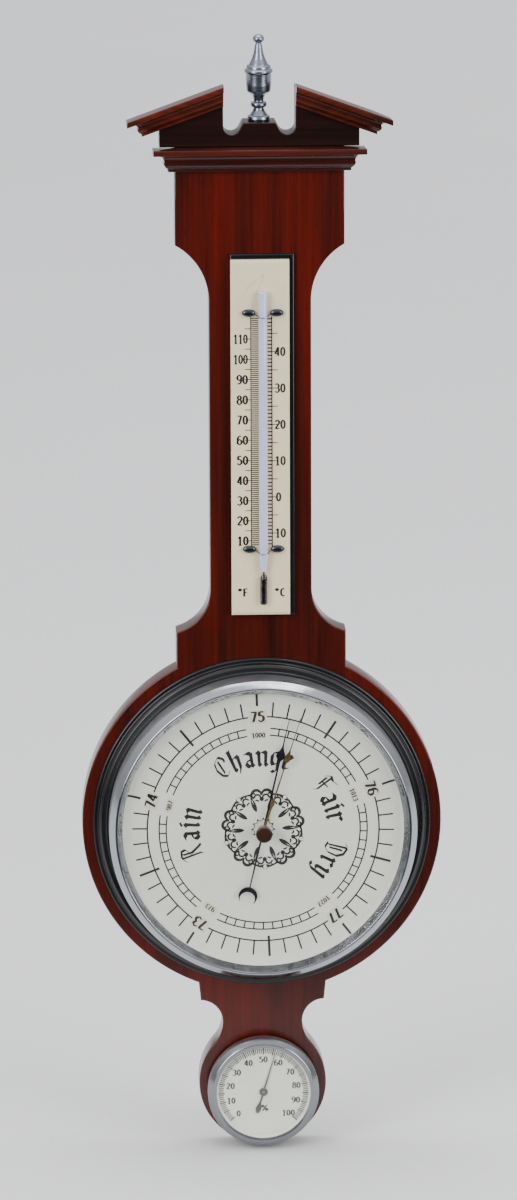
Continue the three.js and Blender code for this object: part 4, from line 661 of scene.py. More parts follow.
def turned_metal(name, colour, dark, rough, centre):
    """Turned metal: lathe rings round an upright axis, with a little grime in the clouds."""
    material, tree, shader = new_finish(name)
    shift = {0: object_place(tree), 1: (-centre.x, -centre.y, 0)}
    place = node(tree, "ShaderNodeVectorMath", shift, operation="ADD").outputs[0]
    rings = placed_group(tree, RINGS, {"Place": place})
    grime = noise(tree, object_place(tree), 170.0, 4.0, 0.65)
    dirt = stepped(tree, grime, 0.5, 0.8, 0.0, 0.45)
    total = maths(tree, "ADD", stepped(tree, rings["Mask"], 0.3, 0.7, rough - 0.05, rough + 0.08),
                  stepped(tree, grime, 0.5, 0.8, 0.0, 0.1))
    feed(tree, shader, Base_Color=mixed(tree, dirt, colour, dark), Roughness=total, Metallic=1.0)
    bumped(tree, shader, rings["Height"], 0.06, 0.03)
    return material


def plain_metal(name, colour, dark, rough, metallic=1.0):
    """Sheet metal seen inside and at the back: fine scratches one way and slow tarnish."""
    material, tree, shader = new_finish(name)
    place = object_place(tree)
    scratch = noise(tree, stretched(tree, place, (240, 240, 3600)), 1.0, 2.0, 0.6)
    tarnish = stepped(tree, noise(tree, place, 45.0, 4.0, 0.6), 0.4, 0.75)
    feed(tree, shader, Base_Color=mixed(tree, tarnish, colour, dark), Metallic=metallic,
         Roughness=stepped(tree, scratch, 0.3, 0.7, rough - 0.06, rough + 0.12))
    bumped(tree, shader, scratch, 0.1, 0.02)
    return material


finial_low, finial_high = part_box("finial")
finial_metal = turned_metal("finial_metal", rgb(140, 145, 158), rgb(86, 91, 104), 0.27,
                            (finial_low + finial_high) / 2)
bezel_metal = plated("bezel_plating", rgb(168, 171, 176), 0.09, 620.0, -0.05, rgb(56, 54, 52))
# The hygrometer's rim is the bezel's plating again, made darker: its lower colour is painted shade.
small_metal_painted_shade = plated("small_plating_with_painted_shade", rgb(140, 142, 146), 0.1, 620.0, -0.05, rgb(48, 46, 44))
rim_metal = plated("worn_rim", rgb(164, 165, 167), 0.42, 620.0, 0.0, rgb(96, 94, 90))
mirror_metal = plated("inner_ring_plating", rgb(198, 202, 208), 0.08, 520.0, 0.5, rgb(46, 48, 54))
steel = plain_metal("steel", rgb(142, 144, 148), rgb(96, 94, 92), 0.36)
brass = plain_metal("brass", rgb(186, 148, 84), rgb(132, 98, 52), 0.3)
gilt = plain_metal("gilt_hand", rgb(126, 108, 68), rgb(88, 72, 42), 0.38)
blued = plain_metal("blackened_steel", rgb(30, 31, 35), rgb(20, 20, 23), 0.34, 0.6)
pin_metal = plain_metal("pin_steel", rgb(84, 88, 92), rgb(40, 44, 48), 0.24)
wire_metal = plain_metal("wire_steel", rgb(176, 184, 190), rgb(110, 116, 124), 0.22)
liquid_metal = plain_metal("liquid_metal", rgb(70, 72, 78), rgb(48, 50, 56), 0.12)


# %% [markdown]
# Painted, printed and moulded surfaces are never quite even either. The black ring is lacquer
# with a soft orange-peel, the cream plate has yellowed here and there, and the dial is a matt
# silvered sheet whose fine grain only shows where it is lit.

# %% Painted finishes
def painted(name, colour, shade, rough, speckle=0.1, peel=0.0, coat=0.0):
    """Paint with slow clouds of a second shade, fine specks, and a little unevenness."""
    material, tree, shader = new_finish(name)
    place = object_place(tree)
    cloud = noise(tree, place, 26.0, 4.0, 0.6)
    specks = stepped(tree, noise(tree, place, 2600.0, 1.0, 0.5), 0.6, 0.78, 0.0, speckle)
    base = mixed(tree, stepped(tree, cloud, 0.38, 0.68), colour, shade)
    feed(tree, shader, Base_Color=mixed(tree, specks, base, (0.03, 0.03, 0.03, 1)),
         Roughness=stepped(tree, cloud, 0.3, 0.7, rough, rough + 0.08),
         Coat_Weight=coat, Coat_Roughness=0.08)
    bumped(tree, shader, noise(tree, place, 700.0, 2.0, 0.5), peel, 0.04)
    return material


lacquer = painted("black_lacquer", rgb(6, 7, 9), rgb(10, 11, 14), 0.26, 0.0, 0.12, 0.15)
cream = painted("cream_plate", rgb(240, 225, 190), rgb(233, 217, 180), 0.42, 0.05, 0.05, 0.1)
dial_paint = painted("silvered_dial", rgb(203, 203, 193), rgb(198, 198, 189), 0.5, 0.1, 0.1)
dial_patch = painted("dial_patch", rgb(196, 191, 172), rgb(188, 183, 164), 0.52, 0.1, 0.1)
hygro_paint = painted("hygrometer_paint", rgb(206, 206, 194), rgb(200, 200, 188), 0.5, 0.08, 0.1)
knob_paint = painted("knob_face", rgb(58, 34, 24), rgb(44, 26, 19), 0.16, 0.0, 0.0, 0.4)
ink = painted("printing_ink", rgb(10, 10, 12), rgb(18, 18, 20), 0.6, 0.0, 0.0)
brown_ink = painted("brown_ink", rgb(38, 28, 24), rgb(54, 40, 32), 0.6, 0.0, 0.0)
scratch_ink = painted("scratch", rgb(176, 158, 118), rgb(190, 174, 138), 0.55, 0.0, 0.0)
hand_paint = painted("hand_paint", rgb(50, 49, 47), rgb(58, 56, 54), 0.42, 0.0, 0.05)


# %% [markdown]
# Glass is left clear, with a plain transmission and a faint tint. A pane would also cast a full
# shadow on the dial behind it, so for shadow rays it is let through.

# %% Glass finishes
def clear_glass(name, tint, rough, thin=0.92):
    """Clear glass: a glass shader that lets shadow rays pass straight through."""
    material, tree, shader = new_finish(name)
    feed(tree, shader, Base_Color=tint, Roughness=rough, Transmission_Weight=1.0, IOR=1.45)
    bumped(tree, shader, noise(tree, object_place(tree), 320.0, 4.0, 0.7), 0.015, 0.02)
    passing = node(tree, "ShaderNodeBsdfTransparent", {"Color": (thin, thin, thin, 1)})
    rays = node(tree, "ShaderNodeLightPath").outputs["Is Shadow Ray"]
    both = node(tree, "ShaderNodeMixShader", {0: rays, 1: shader.outputs[0], 2: passing.outputs[0]})
    feed(tree, tree.nodes["Material Output"], Surface=both.outputs[0])
    return material


def tube_glass():
    """The stem is backed with milky glass, so it reads as a pale lilac rod with a sharp gloss."""
    material, tree, shader = new_finish("milk_backed_tube")
    cloud = noise(tree, stretched(tree, object_place(tree), (300, 300, 30)), 1.0, 2.0, 0.5)
    feed(tree, shader, Base_Color=mixed(tree, cloud, rgb(200, 199, 238), rgb(214, 214, 244)),
         Roughness=stepped(tree, cloud, 0.3, 0.7, 0.05, 0.1), Coat_Weight=1.0,
         Coat_Roughness=0.03, Subsurface_Weight=0.15, Subsurface_Scale=0.002)
    return material


pane = clear_glass("clear_glass", (0.97, 0.985, 0.98, 1), 0.02)
stem_glass = tube_glass()
bulb_glass = clear_glass("bulb_glass", (0.95, 0.96, 0.97, 1), 0.03, 0.85)
print(len(bpy.data.materials), "finishes made")

# %% [markdown]
# The board is one shaped plank: a square block at the top, a hollow down to the neck, another out
# to the shoulders, the round body, a small block, a waist and the round foot. A maker saws it to
# a template, so it is drawn as one outline of straight lines and arcs, from which the plate is
# made. Its right half is enough, and the left is its mirror image.

# %% The outline of the board
BLOCK_HALF, BLOCK_BOTTOM = 51.8, 364
NECK_HALF, COVE_HIGH = 31.3, 35
SHOULDER_HALF, SHOULDER_TOP, SHOULDER_COVE = 52.5, 121.2, 27.4
FOOT_HALF, FOOT_BOTTOM = 39.8, -116
WAIST_HALF, WAIST_Z, LOBE_Z = 24.9, -130.3, -170
LOBE_R = 39.8
BOARD_ROUND = 0.9  # how far the front edge is rounded over


def hollow(out, along):
    """Radius and turn in degrees of a hollow that starts upright and reaches (out, along)."""
    r = (out**2 + along**2) / (2 * out)
    return r, math.degrees(math.asin(along / r))


def mirrored(half):
    """The right half, from the top down, followed by its mirror image from the bottom up."""
    left = half[half[:, 0] > 1e-6] * (-1, 1)
    return np.concatenate([half, left[::-1]])


def board_outline():
    """Straight sides joined by arcs, each arc finely divided."""
    top = board_high[2]
    upper_r, upper_turn = hollow(BLOCK_HALF - NECK_HALF, COVE_HIGH)
    lower_r, lower_turn = hollow(SHOULDER_HALF - NECK_HALF, SHOULDER_COVE)
    foot_r, foot_turn = hollow(FOOT_HALF - WAIST_HALF, FOOT_BOTTOM - WAIST_Z)
    shoulder_turn = math.degrees(math.acos(SHOULDER_HALF / BODY_R))
    block_turn = math.degrees(math.acos(FOOT_HALF / BODY_R))
    drop = WAIST_Z - LOBE_Z
    back_r = (WAIST_HALF**2 + drop**2 - LOBE_R**2) / (2 * (LOBE_R - WAIST_HALF))
    back_turn = math.degrees(math.atan2(drop, WAIST_HALF + back_r))
    side_z = np.linspace(BLOCK_BOTTOM - COVE_HIGH, SHOULDER_TOP + SHOULDER_COVE, 14)[1:-1]
    side = np.stack([0 * side_z + NECK_HALF, side_z], axis=1)
    return mirrored(np.concatenate([
        [[BLOCK_HALF, top - 0.02], [BLOCK_HALF, BLOCK_BOTTOM + 20]],
        arc(NECK_HALF + upper_r, BLOCK_BOTTOM - COVE_HIGH, upper_r, 180 - upper_turn, 180, 22),
        side,
        arc(NECK_HALF + lower_r, SHOULDER_TOP + SHOULDER_COVE, lower_r, 180, 180 + lower_turn, 20),
        arc(0, 0, BODY_R, shoulder_turn, -block_turn, 150),
        arc(WAIST_HALF + foot_r, WAIST_Z, foot_r, 180 - foot_turn, 180, 14),
        arc(WAIST_HALF + back_r, WAIST_Z, back_r, 180, 180 + back_turn, 8)[1:],
        arc(0, LOBE_Z, LOBE_R, back_turn, -90, 72)[1:],
    ]))


# %% [markdown]
# Two round holes go through the board, one for each instrument, and the hanger plate is let into
# the back. The fine board is the plate with those holes, and a shallow pocket with a deeper one
# inside it, whose walls are cut by a boolean with the fine outline of each tool.

# %% The board
hygro_low, hygro_high = reach("hygrometer_case")
hanger_low, hanger_high = reach("hanger_plate")
HYGRO_Z = (hygro_low[2] + hygro_high[2]) / 2
CASE_R, HYGRO_CASE_R = 84.0, 28.8
HOLE_PLAY, HOLE_MARGIN = 0.3, 0.1
BACK_ROUND, EDGE_STEPS = 0.7, 6
PLATE_DEEP, PLATE_CORNER = 1.52, 2.0
HEAD_DEEP, HEAD_R, HEAD_TRAVEL = 9.5, 6.2, 10  # room for the head of the wall screw

board_hole = circle(0, 0, CASE_R + HOLE_PLAY + HOLE_MARGIN, 128)
foot_hole = circle(0, HYGRO_Z, HYGRO_CASE_R + HOLE_PLAY + HOLE_MARGIN, 72)
board = piece("mahogany_board", *plate(board_outline(), 0.0, BOARD_FRONT, BACK_ROUND, BOARD_ROUND,
                                       (board_hole, foot_hole), EDGE_STEPS), board_wood)


def at_depth(y):
    return lambda x, z: np.stack([x, y + 0 * x, z], axis=1)


def pocket(name, loop, deep):
    """A tool with straight walls from just outside the back down to a depth."""
    return piece(name, *swept(loop, [at_depth(0.5), at_depth(-deep)]), board_wood)


def carve(target, tool):
    """Cuts the tool out of the target, finds the sharp edges again and throws the tool away."""
    cut = target.modifiers.new("cut", "BOOLEAN")
    cut.object, cut.operation, cut.solver = tool, "DIFFERENCE", "EXACT"
    bpy.context.view_layer.objects.active = target
    bpy.ops.object.modifier_apply(modifier="cut")
    shaded(target.data)
    bpy.data.objects.remove(tool)


hanger_loop = softened(rectangle(hanger_low - HOLE_PLAY, hanger_high + HOLE_PLAY), PLATE_CORNER)
head_z = -AXIS_Z / MM
slot_loop = np.concatenate([arc(0, head_z, HEAD_R, 0, 180, 16),
                            arc(0, head_z - HEAD_TRAVEL, HEAD_R, 180, 360, 16)])
carve(board, pocket("plate_pocket", hanger_loop, PLATE_DEEP))
carve(board, pocket("head_pocket", slot_loop, HEAD_DEEP))
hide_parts("case_board")
print("board:", len(board.data.polygons), "faces")

# %% [markdown]
# The mouldings of the cornice and of the broken pediment share one section: a flat fillet on top,
# a small undercut, a hollow that ends in an arris, a long swell and a narrow foot. On the real
# thing it is planed as one length and mitred round the corners. Here the section is carried past
# each mitre in the same way. The arrises are softened a little, as they are on anything that has
# been polished for years.

# %% The section of the mouldings
MOULD_OUT, QUIRK_DROP = 13.1, 0.5
COVE_FROM, COVE_TO, ARRIS_OUT = 9.9, 6.2, 0.4
MOULD_FOOT, FOOT_STEP, FOOT_HIGH = 3.6, 0.3, 1.3
JOINT = 0.02  # film of glue between two pieces


def bezier(a, b, c, d, steps):
    """Point t is (1-t)^3 a + 3t(1-t)^2 b + 3t^2(1-t) c + t^3 d."""
    t = np.linspace(0, 1, steps + 1)[:, None]
    a, b, c, d = (np.array(p, float) for p in (a, b, c, d))
    return (1 - t) ** 3 * a + 3 * t * (1 - t) ** 2 * b + 3 * t**2 * (1 - t) * c + t**3 * d


def moulding(high, fillet, arris):
    """For t from 0 to a quarter turn the hollow is (from - in sin t, arris - drop cos t). Below its
    arris the section swells and runs in to the foot. Corners are softened afterwards."""
    t = np.linspace(0, np.pi / 2, 12)
    top = fillet + QUIRK_DROP
    cove = np.stack([COVE_FROM - (COVE_FROM - COVE_TO) * np.sin(t),
                     arris - (arris - top) * np.cos(t)], axis=1)
    lip, foot = COVE_TO + ARRIS_OUT, high - FOOT_HIGH
    fall = foot - arris
    swell = bezier((lip, arris + 0.25), (lip, arris + 0.5 * fall),
                   (MOULD_FOOT + 1.2, foot - 0.25 * fall), (MOULD_FOOT, foot), 12)
    face = MOULD_FOOT + FOOT_STEP
    shaped = [[0, 0], [MOULD_OUT, 0], [MOULD_OUT, fillet], *cove.tolist(), *swell.tolist(),
              [face, foot + 0.1], [face, high], [0, high]]
    radii = np.zeros(len(shaped))
    radii[[1, 2, 3]] = 0.45, 0.4, 0.2
    radii[[3 + len(cove), -3, -2]] = 0.12, 0.12, 0.3
    return softened(shaped, radii, 4)


# %% The cornice and the sloping mouldings
CORNICE_TOP = board_high[2]
RAKE_RIDGE, RAKE_SLOPE = 471.4, math.radians(20)
GAP_HALF, EAR_HALF = 22, 67.6
RETURN_FALL = 3.2  # the returns fall a little towards the wall
panel_front = -19
CORNICE, RAKE = moulding(14.5, 3.4, 8.3), moulding(12.6, 3.2, 6.8)


def rake_top(x):
    return RAKE_RIDGE - math.tan(RAKE_SLOPE) * x


def cornice_station(side, back):
    """Section point (p, d) goes to (side (half + p), front - p or the back, top - d)."""
    fall = RETURN_FALL if back else 0
    return lambda p, d: np.stack([side * (BLOCK_HALF + JOINT + p),
                                  0 * p if back else BOARD_FRONT - JOINT - p,
                                  CORNICE_TOP - fall - d], axis=1)


def rake_station(side, at):
    """Along the slope the section is cut plumb at the gap, and mitred at the outer corner."""
    plumb = 1 / math.cos(RAKE_SLOPE)

    def place(p, d):
        x = GAP_HALF + 0 * p if at == "gap" else EAR_HALF + JOINT + p
        y = 0 * p if at == "back" else panel_front - JOINT - p
        fall = RETURN_FALL if at == "back" else 0
        return np.stack([side * x, y, rake_top(x) - fall - d * plumb], axis=1)
    return place


stations = [cornice_station(-1, True), cornice_station(-1, False), cornice_station(1, False),
            cornice_station(1, True)]
cornice = piece("cornice_moulding", *swept(CORNICE, stations), cornice_wood, sharp=40)
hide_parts("cornice_front", "cornice_return_left", "cornice_return_right")
for side, name in ((-1, "left"), (1, "right")):
    stations = [rake_station(side, at) for at in ("gap", "corner", "back")]
    rake = piece("sloping_moulding_" + name, *swept(RAKE, stations), rake_wood[side], sharp=40)
    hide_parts("raking_moulding_" + name, "raking_return_" + name)
print("mouldings mitred")

# %% [markdown]
# Behind the sloping mouldings stands a flat panel, sawn out in the middle. Its notch falls
# straight, turns along a flat floor, and rises again in a reverse curve to the little stand of
# the finial.

# %% The pediment panel
PANEL_HALF, GAP_FLOOR, GAP_CORNER = 60.9, 431.9, 5.2
PLINTH_HALF, PLINTH_TOP = 9.3, 439.2
RAKE_HIGH, EAR_COVER, PANEL_BELOW = 12.6, 0.6, 3.2


def panel_outline():
    """The reverse curve beside the stand, the round corner of the notch, and straight lines."""
    ear = (RAKE_HIGH - EAR_COVER) / math.cos(RAKE_SLOPE)
    floor_x = GAP_HALF - GAP_CORNER
    swing = bezier((PLINTH_HALF, PLINTH_TOP), (PLINTH_HALF + 2.2, PLINTH_TOP - 0.5),
                   (PLINTH_HALF + 2.2, GAP_FLOOR + 0.2), (floor_x, GAP_FLOOR), 26)
    corner = arc(floor_x, GAP_FLOOR + GAP_CORNER, GAP_CORNER, -90, 0, 14)[1:]
    rest = [[GAP_HALF, rake_top(GAP_HALF) - PANEL_BELOW],
            [EAR_HALF, rake_top(EAR_HALF) - PANEL_BELOW], [EAR_HALF, rake_top(EAR_HALF) - ear],
            [PANEL_HALF, rake_top(PANEL_HALF) - ear], [PANEL_HALF, CORNICE_TOP + JOINT]]
    return mirrored(np.concatenate([swing, corner, rest]))


panel = piece("notched_panel", *plate(panel_outline(), 0.0, panel_front, 0.3, 0.5), panel_wood)
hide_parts("pediment_panel")

# %% [markdown]
# The finial was turned on a lathe: an urn with a spire and a ball, standing on a waisted foot. A
# turner thinks in beads, coves and fillets, so its profile is a few corners, each with the radius
# of the tool that rounded it.

# %% The finial
FINIAL_HIGH, BALL_R, BALL_FLAT, STUD_DEEP = 52.9, 3.5, 0.8, 12
FINIAL_CORNERS = [  # radius, height above the stand, rounding
    (0, -STUD_DEEP, 0), (2.5, -STUD_DEEP, 0.4), (2.5, JOINT, 0), (6.6, JOINT, 0.4),
    (7.0, 1.4, 1.2), (6.8, 2.9, 0.3), (5.6, 3.4, 0.2), (3.7, 6.1, 5), (2.9, 8.3, 0.6),
    (4.9, 8.6, 1.3), (4.9, 11.4, 1.3), (2.9, 11.8, 0.6), (3.3, 14.0, 3), (4.3, 16.3, 2),
    (6.3, 17.3, 0.8), (7.3, 18.3, 0.9), (7.65, 22.0, 3), (7.65, 29.0, 0.4), (8.2, 29.3, 0.4),
    (8.6, 30.0, 0.6), (8.6, 31.3, 0.7), (7.3, 31.9, 0.2), (7.4, 32.3, 0.4), (7.2, 33.9, 0.9),
    (5.8, 34.3, 0.2), (5.6, 34.9, 0.6), (4.2, 37.8, 5), (3.0, 41.4, 7), (2.1, 46.8, 0.3),
    (1.8, 47.2, 0.2),
]
ball = oval(0, FINIAL_HIGH - BALL_FLAT * BALL_R, BALL_R, BALL_FLAT * BALL_R, -62, 90, 22)
ball[-1, 0] = 0
finial_profile = np.concatenate([rounded(FINIAL_CORNERS, closed=False), ball])
finial = piece("turned_finial", *turned_upright(finial_profile, 0, panel_front / 2, PLINTH_TOP),
               finial_metal, sharp=50)
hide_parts("finial")
print("finial:", len(finial.data.polygons), "faces")

# %% [markdown]
# The thermometer is a cream plate with a bevel, on a black backing, and in front of it the glass.
# The two plates are outlines again, but each has its own list of rings: how far a ring lies
# inside the outline, and at what depth.

# %% The thermometer's two plates
backing_low, backing_high = reach("thermometer_backing")
plate_low, plate_high = reach("scale_plate")
PLATE_FRONT = plate_low[1]
CLIP_HOLE_R = 0.88
clip_names = ["lower_left", "lower_right", "upper_left", "upper_right"]
clip_places = {name: sum(reach("clip_pin_" + name)) / 2 for name in clip_names}
pin_holes = [circle(p[0], p[2], CLIP_HOLE_R, 16) for p in clip_places.values()]

front, rear = backing_low[1], backing_high[1]
backing_rings = [(0.9, rear), (0.5, rear), (0.2, rear - 0.1), (0.0, rear - 0.45),
                 (0.0, front + 0.7), (0.2, front + 0.25), (0.7, front), (1.2, front)]
backing = piece("black_backing",
                *layered(rectangle(backing_low, backing_high), backing_rings, pin_holes), lacquer)
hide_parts("thermometer_backing")

BEVEL = 1.9
rear = plate_high[1]
plate_rings = [(0.5, rear), (0.1, rear), (0.0, rear - 0.1), (0.0, PLATE_FRONT + 0.95),
               (0.08, PLATE_FRONT + 0.8), (BEVEL - 0.2, PLATE_FRONT + 0.06),
               (BEVEL, PLATE_FRONT), (BEVEL + 0.4, PLATE_FRONT)]
scale = piece("bevelled_scale",
              *layered(rectangle(plate_low, plate_high), plate_rings, pin_holes), cream, sharp=20)
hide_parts("scale_plate")
print("scale plate front at y =", round(PLATE_FRONT, 2))

# %% [markdown]
# The glass is one piece: a thick stem with a milky back, drawn down to a thin clear bulb. The
# bore is open at the tip and widens in the bulb, where the liquid lies. Both are turned about an
# upright axis. The faces of the clear part get the second slot of the same mesh.

# %% The thermometer glass
tube_low, tube_high = reach("thermometer_tube")
TUBE_X = (tube_low[0] + tube_high[0]) / 2
TUBE_Y = (tube_low[1] + tube_high[1]) / 2
TUBE_R, TUBE_TOP, NECK_Z = 2.75, 336.7, 168
BULB_R, BULB_BOTTOM, BULB_TOP, BULB_WALL, BORE_R = 2.2, 140.5, 158.2, 0.4, 0.55
cavity = BULB_R - BULB_WALL
GLASS_CORNERS = [
    (BORE_R, TUBE_TOP, 0), (TUBE_R, TUBE_TOP, 2.4), (TUBE_R, NECK_Z + 4, 2),
    (BULB_R + 0.1, NECK_Z - 1, 2), (BULB_R - 0.6, BULB_TOP + 3, 2), (BULB_R, BULB_TOP - 1, 2),
    (BULB_R, BULB_BOTTOM, 2.1), (0, BULB_BOTTOM, 0), (0, BULB_BOTTOM + BULB_WALL, 0),
    (cavity, BULB_BOTTOM + BULB_WALL, 1.7), (cavity, BULB_TOP - 1.2, 1.5),
    (BORE_R, BULB_TOP + 1.5, 1.0)]
glass = piece("thermometer_glass",
              *turned_upright(rounded(GLASS_CORNERS, 8), TUBE_X, TUBE_Y, 0, 40), stem_glass,
              sharp=60)
refinish(glass, bulb_glass, lambda middle: middle[:, 2] < BULB_TOP + 3.5)
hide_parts("thermometer_tube")

LIQUID_R, LIQUID_TOP, LIQUID_GAP = 0.45, 262, 0.1
LIQUID_CORNERS = [
    (0, BULB_BOTTOM + BULB_WALL + LIQUID_GAP, 0), (cavity - LIQUID_GAP, BULB_BOTTOM + 0.5, 1.6),
    (cavity - LIQUID_GAP, BULB_TOP - 1.5, 1.5), (LIQUID_R, BULB_TOP + 1.2, 1.0),
    (LIQUID_R, LIQUID_TOP, 0.4), (0, LIQUID_TOP, 0)]
liquid = piece("liquid_column", *turned_upright(rounded(LIQUID_CORNERS, closed=False), TUBE_X,
                                                TUBE_Y, 0, 24), liquid_metal, sharp=60)
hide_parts("thermometer_liquid")

# %% [markdown]
# Two wires hold the glass. Each runs from under one domed pin, over the glass, to the other pin.
# A wire is a circle carried along a smooth path. The path goes through a few points by the
# Catmull-Rom formula, and across it two directions are worked out everywhere at once from the
# path's own direction and one fixed one.

# %% Wires and domed pins
def smooth_path(points, steps=10):
    """Between points b and c, with neighbours a and d, place t is half of 2b + (c - a) t +
    (2a - 5b + 4c - d) t^2 + (3b - a - 3c + d) t^3."""
    at = np.asarray(points, float)
    at = np.concatenate([[2 * at[0] - at[1]], at, [2 * at[-1] - at[-2]]])
    a, b, c, d = (at[k:len(at) - 3 + k, None, :] for k in range(4))
    t = np.linspace(0, 1, steps, endpoint=False)[None, :, None]
    path = (2 * b + (c - a) * t + (2 * a - 5 * b + 4 * c - d) * t**2
            + (3 * b - a - 3 * c + d) * t**3) / 2
    return np.concatenate([path.reshape(-1, 3), at[-2:-1]])


def wire(path, r, across=(0, 0, 1), sides=10):
    """Point t of a ring lies at path + r (cos t u + sin t v), with u and v square to the path."""
    along = np.gradient(path, axis=0)
    along /= np.linalg.norm(along, axis=1, keepdims=True)
    u = np.cross(along, across)
    u /= np.linalg.norm(u, axis=1, keepdims=True)
    v = np.cross(along, u)
    t = np.linspace(0, 2 * np.pi, sides, endpoint=False)[None, :, None]
    rings = path[:, None, :] + r * (np.cos(t) * u[:, None, :] + np.sin(t) * v[:, None, :])
    last = (len(path) - 1) * sides
    faces = grid_faces(len(path), sides) + [list(range(sides)), list(range(last, last + sides))]
    return rings.reshape(-1, 3), faces


WIRE_R, WIRE_SAG, PIN_HEAD_LONG, PIN_HEAD_WIDE = 0.4, 2.3, 8.4, 4.7


def clip_wire(z):
    """Half the points from the left pin to the top of the glass, then the same mirrored."""
    low, over = PLATE_FRONT - WIRE_R - 0.03, TUBE_R + WIRE_R + 0.3
    half = [(-7.5, low, 0), (-5.6, low - 0.2, -0.35 * WIRE_SAG),
            (-over, TUBE_Y + 0.4, -0.7 * WIRE_SAG),
            (-over * 0.74, TUBE_Y - over * 0.74, -0.9 * WIRE_SAG)]
    whole = [*half, (0, TUBE_Y - over, -WIRE_SAG), *[(-x, y, dz) for x, y, dz in half[::-1]]]
    return wire(smooth_path([(TUBE_X + x, y, z + dz) for x, y, dz in whole]), WIRE_R)


def domed_pin(place, end):
    """A dome of rings (w cos a, depth sin a), stretched to an oval, on a round pin."""
    rear, half_wide = PLATE_FRONT - 1.0, PIN_HEAD_WIDE / 2
    t = np.linspace(0, np.pi / 2, 9)
    dome = np.stack([half_wide * np.cos(t) ** 0.8, rear - 0.35 - 1.65 * np.sin(t)], axis=1)
    dome[-1, 0] = 0
    under = [(0, rear), (half_wide - 0.3, rear), (half_wide, rear - 0.3)]
    points, faces = turned(np.concatenate([under, dome[1:]]), (0, 0), 40, closed=False)
    points = points * (PIN_HEAD_LONG / PIN_HEAD_WIDE, 1, 1) + (place[0], 0, place[2])
    pin = [(0, end), (0.5, end), (0.8, end - 0.5), (0.8, rear - 0.3), (0, rear - 0.3)]
    return joined((points, faces), turned(pin, (place[0], place[2]), 16, closed=False))


for name, place in clip_places.items():
    pin_end = reach("clip_pin_" + name)[1][1]
    pin = piece("domed_pin_" + name, *domed_pin(place, pin_end), pin_metal, sharp=50)
    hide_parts("clip_pin_" + name)
for name in ("lower", "upper"):
    height_of_pins = clip_places[name + "_left"][2]
    holder = piece("glass_wire_" + name, *clip_wire(height_of_pins), wire_metal, sharp=60)
    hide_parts("clip_wire_" + name)
print("glass held by two wires and", len(clip_places), "pins")

# %% [markdown]
# The barometer is a stack of turned rings, from the wood outwards: a black moulded ring, the
# chrome bezel pressed over the flange of a steel pan, a sloped bright ring behind the glass, and
# the dial, whose rim curls forward. Each is a closed profile for the lathe, and each corner has
# its own radius.

# %% Rings, pan and dial
def ring(name, corners, material, sides=256, closed=True, centre=(0, 0)):
    """A turned piece. Its corners are (radius, depth, rounding)."""
    return piece(name, *turned(rounded(corners, 5, closed), centre, sides, closed), material)


def rod(x, z, r, rear, front, sides):
    """A plain rod with closed ends."""
    return turned([(0, rear), (r, rear), (r, front), (0, front)], (x, z), sides, closed=False)


pan_back = reach("instrument_case")[1][1]
black_low, black_high = reach("surround_ring")
bezel_low, bezel_high = reach("bezel")
lens_low, lens_high = reach("barometer_glass")
BEZEL_R, RING_R, LIP_R, GLASS_R = 95.5, 105.0, 90.3, 91.9
RING_FRONT, LIP_Y = black_low[1], bezel_low[1]
BEZEL_REAR, RING_REAR = bezel_high[1], black_high[1]
GLASS_FRONT, GLASS_REAR = lens_low[1], lens_high[1]
GLASS_HOLE_R = 3.38
DIAL_Y, DIAL_FLAT_R, DIAL_R, DIAL_HOLE_R, DIAL_GAUGE = -37.7, 79, 88.4, 3, 0.7
DIAL_RIM_Y = DIAL_Y - 2.6
MIRROR_IN, MIRROR_FOOT, DIAL_CLEAR = 86.9, 88.5, 0.12
FLANGE_OUT, FLANGE_THICK, PAN_WALL, SCREW_HOLE = 94.2, 1.1, 1.2, 3.8

black = ring("moulded_black_ring", [
    (CASE_R + HOLE_PLAY, RING_REAR, 0), (CASE_R + HOLE_PLAY, RING_FRONT, 0.2),
    (96.7, RING_FRONT, 0.25),
    (97.3, RING_FRONT + 0.65, 0.3), (99.7, RING_FRONT + 0.3, 1.2), (101.3, RING_FRONT + 1.6, 1.2),
    (102.0, RING_FRONT + 3.9, 1.0), (RING_R, RING_FRONT + 3.7, 2.2),
    (RING_R, RING_REAR, 0)], lacquer)
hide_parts("surround_ring")

bezel = ring("chrome_bezel", [
    (BEZEL_R, BEZEL_REAR, 0.2), (BEZEL_R, LIP_Y + 4.8, 0.8), (BEZEL_R - 3.9, LIP_Y + 0.1, 1.6),
    (LIP_R, LIP_Y + 0.5, 0.35), (LIP_R, LIP_Y + 0.9, 0.1), (GLASS_R + 0.3, LIP_Y + 0.9, 0.3),
    (BEZEL_R - 0.9, LIP_Y + 3.6, 0.8), (BEZEL_R - 0.9, BEZEL_REAR, 0.1)], bezel_metal)
refinish(bezel, rim_metal, lambda middle: np.hypot(middle[:, 0], middle[:, 2]) > BEZEL_R - 0.1)
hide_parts("bezel")

mirror = ring("sloped_mirror_ring", [
    (GLASS_R, GLASS_REAR + JOINT, 0), (LIP_R, GLASS_REAR + JOINT, 0.1),
    (MIRROR_IN, DIAL_RIM_Y - 0.72, 0.3), (MIRROR_IN, DIAL_RIM_Y - DIAL_CLEAR, 0.1),
    (MIRROR_FOOT, DIAL_RIM_Y - DIAL_CLEAR, 0.1), (GLASS_R, GLASS_REAR + 0.7, 0)], mirror_metal)
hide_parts("reflector_ring")

lens_glass = ring("flat_glass", [
    (GLASS_HOLE_R, GLASS_REAR, 0.1), (GLASS_R, GLASS_REAR, 0.4), (GLASS_R, GLASS_FRONT, 0.4),
    (GLASS_HOLE_R, GLASS_FRONT, 0.1)], pane)
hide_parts("barometer_glass")

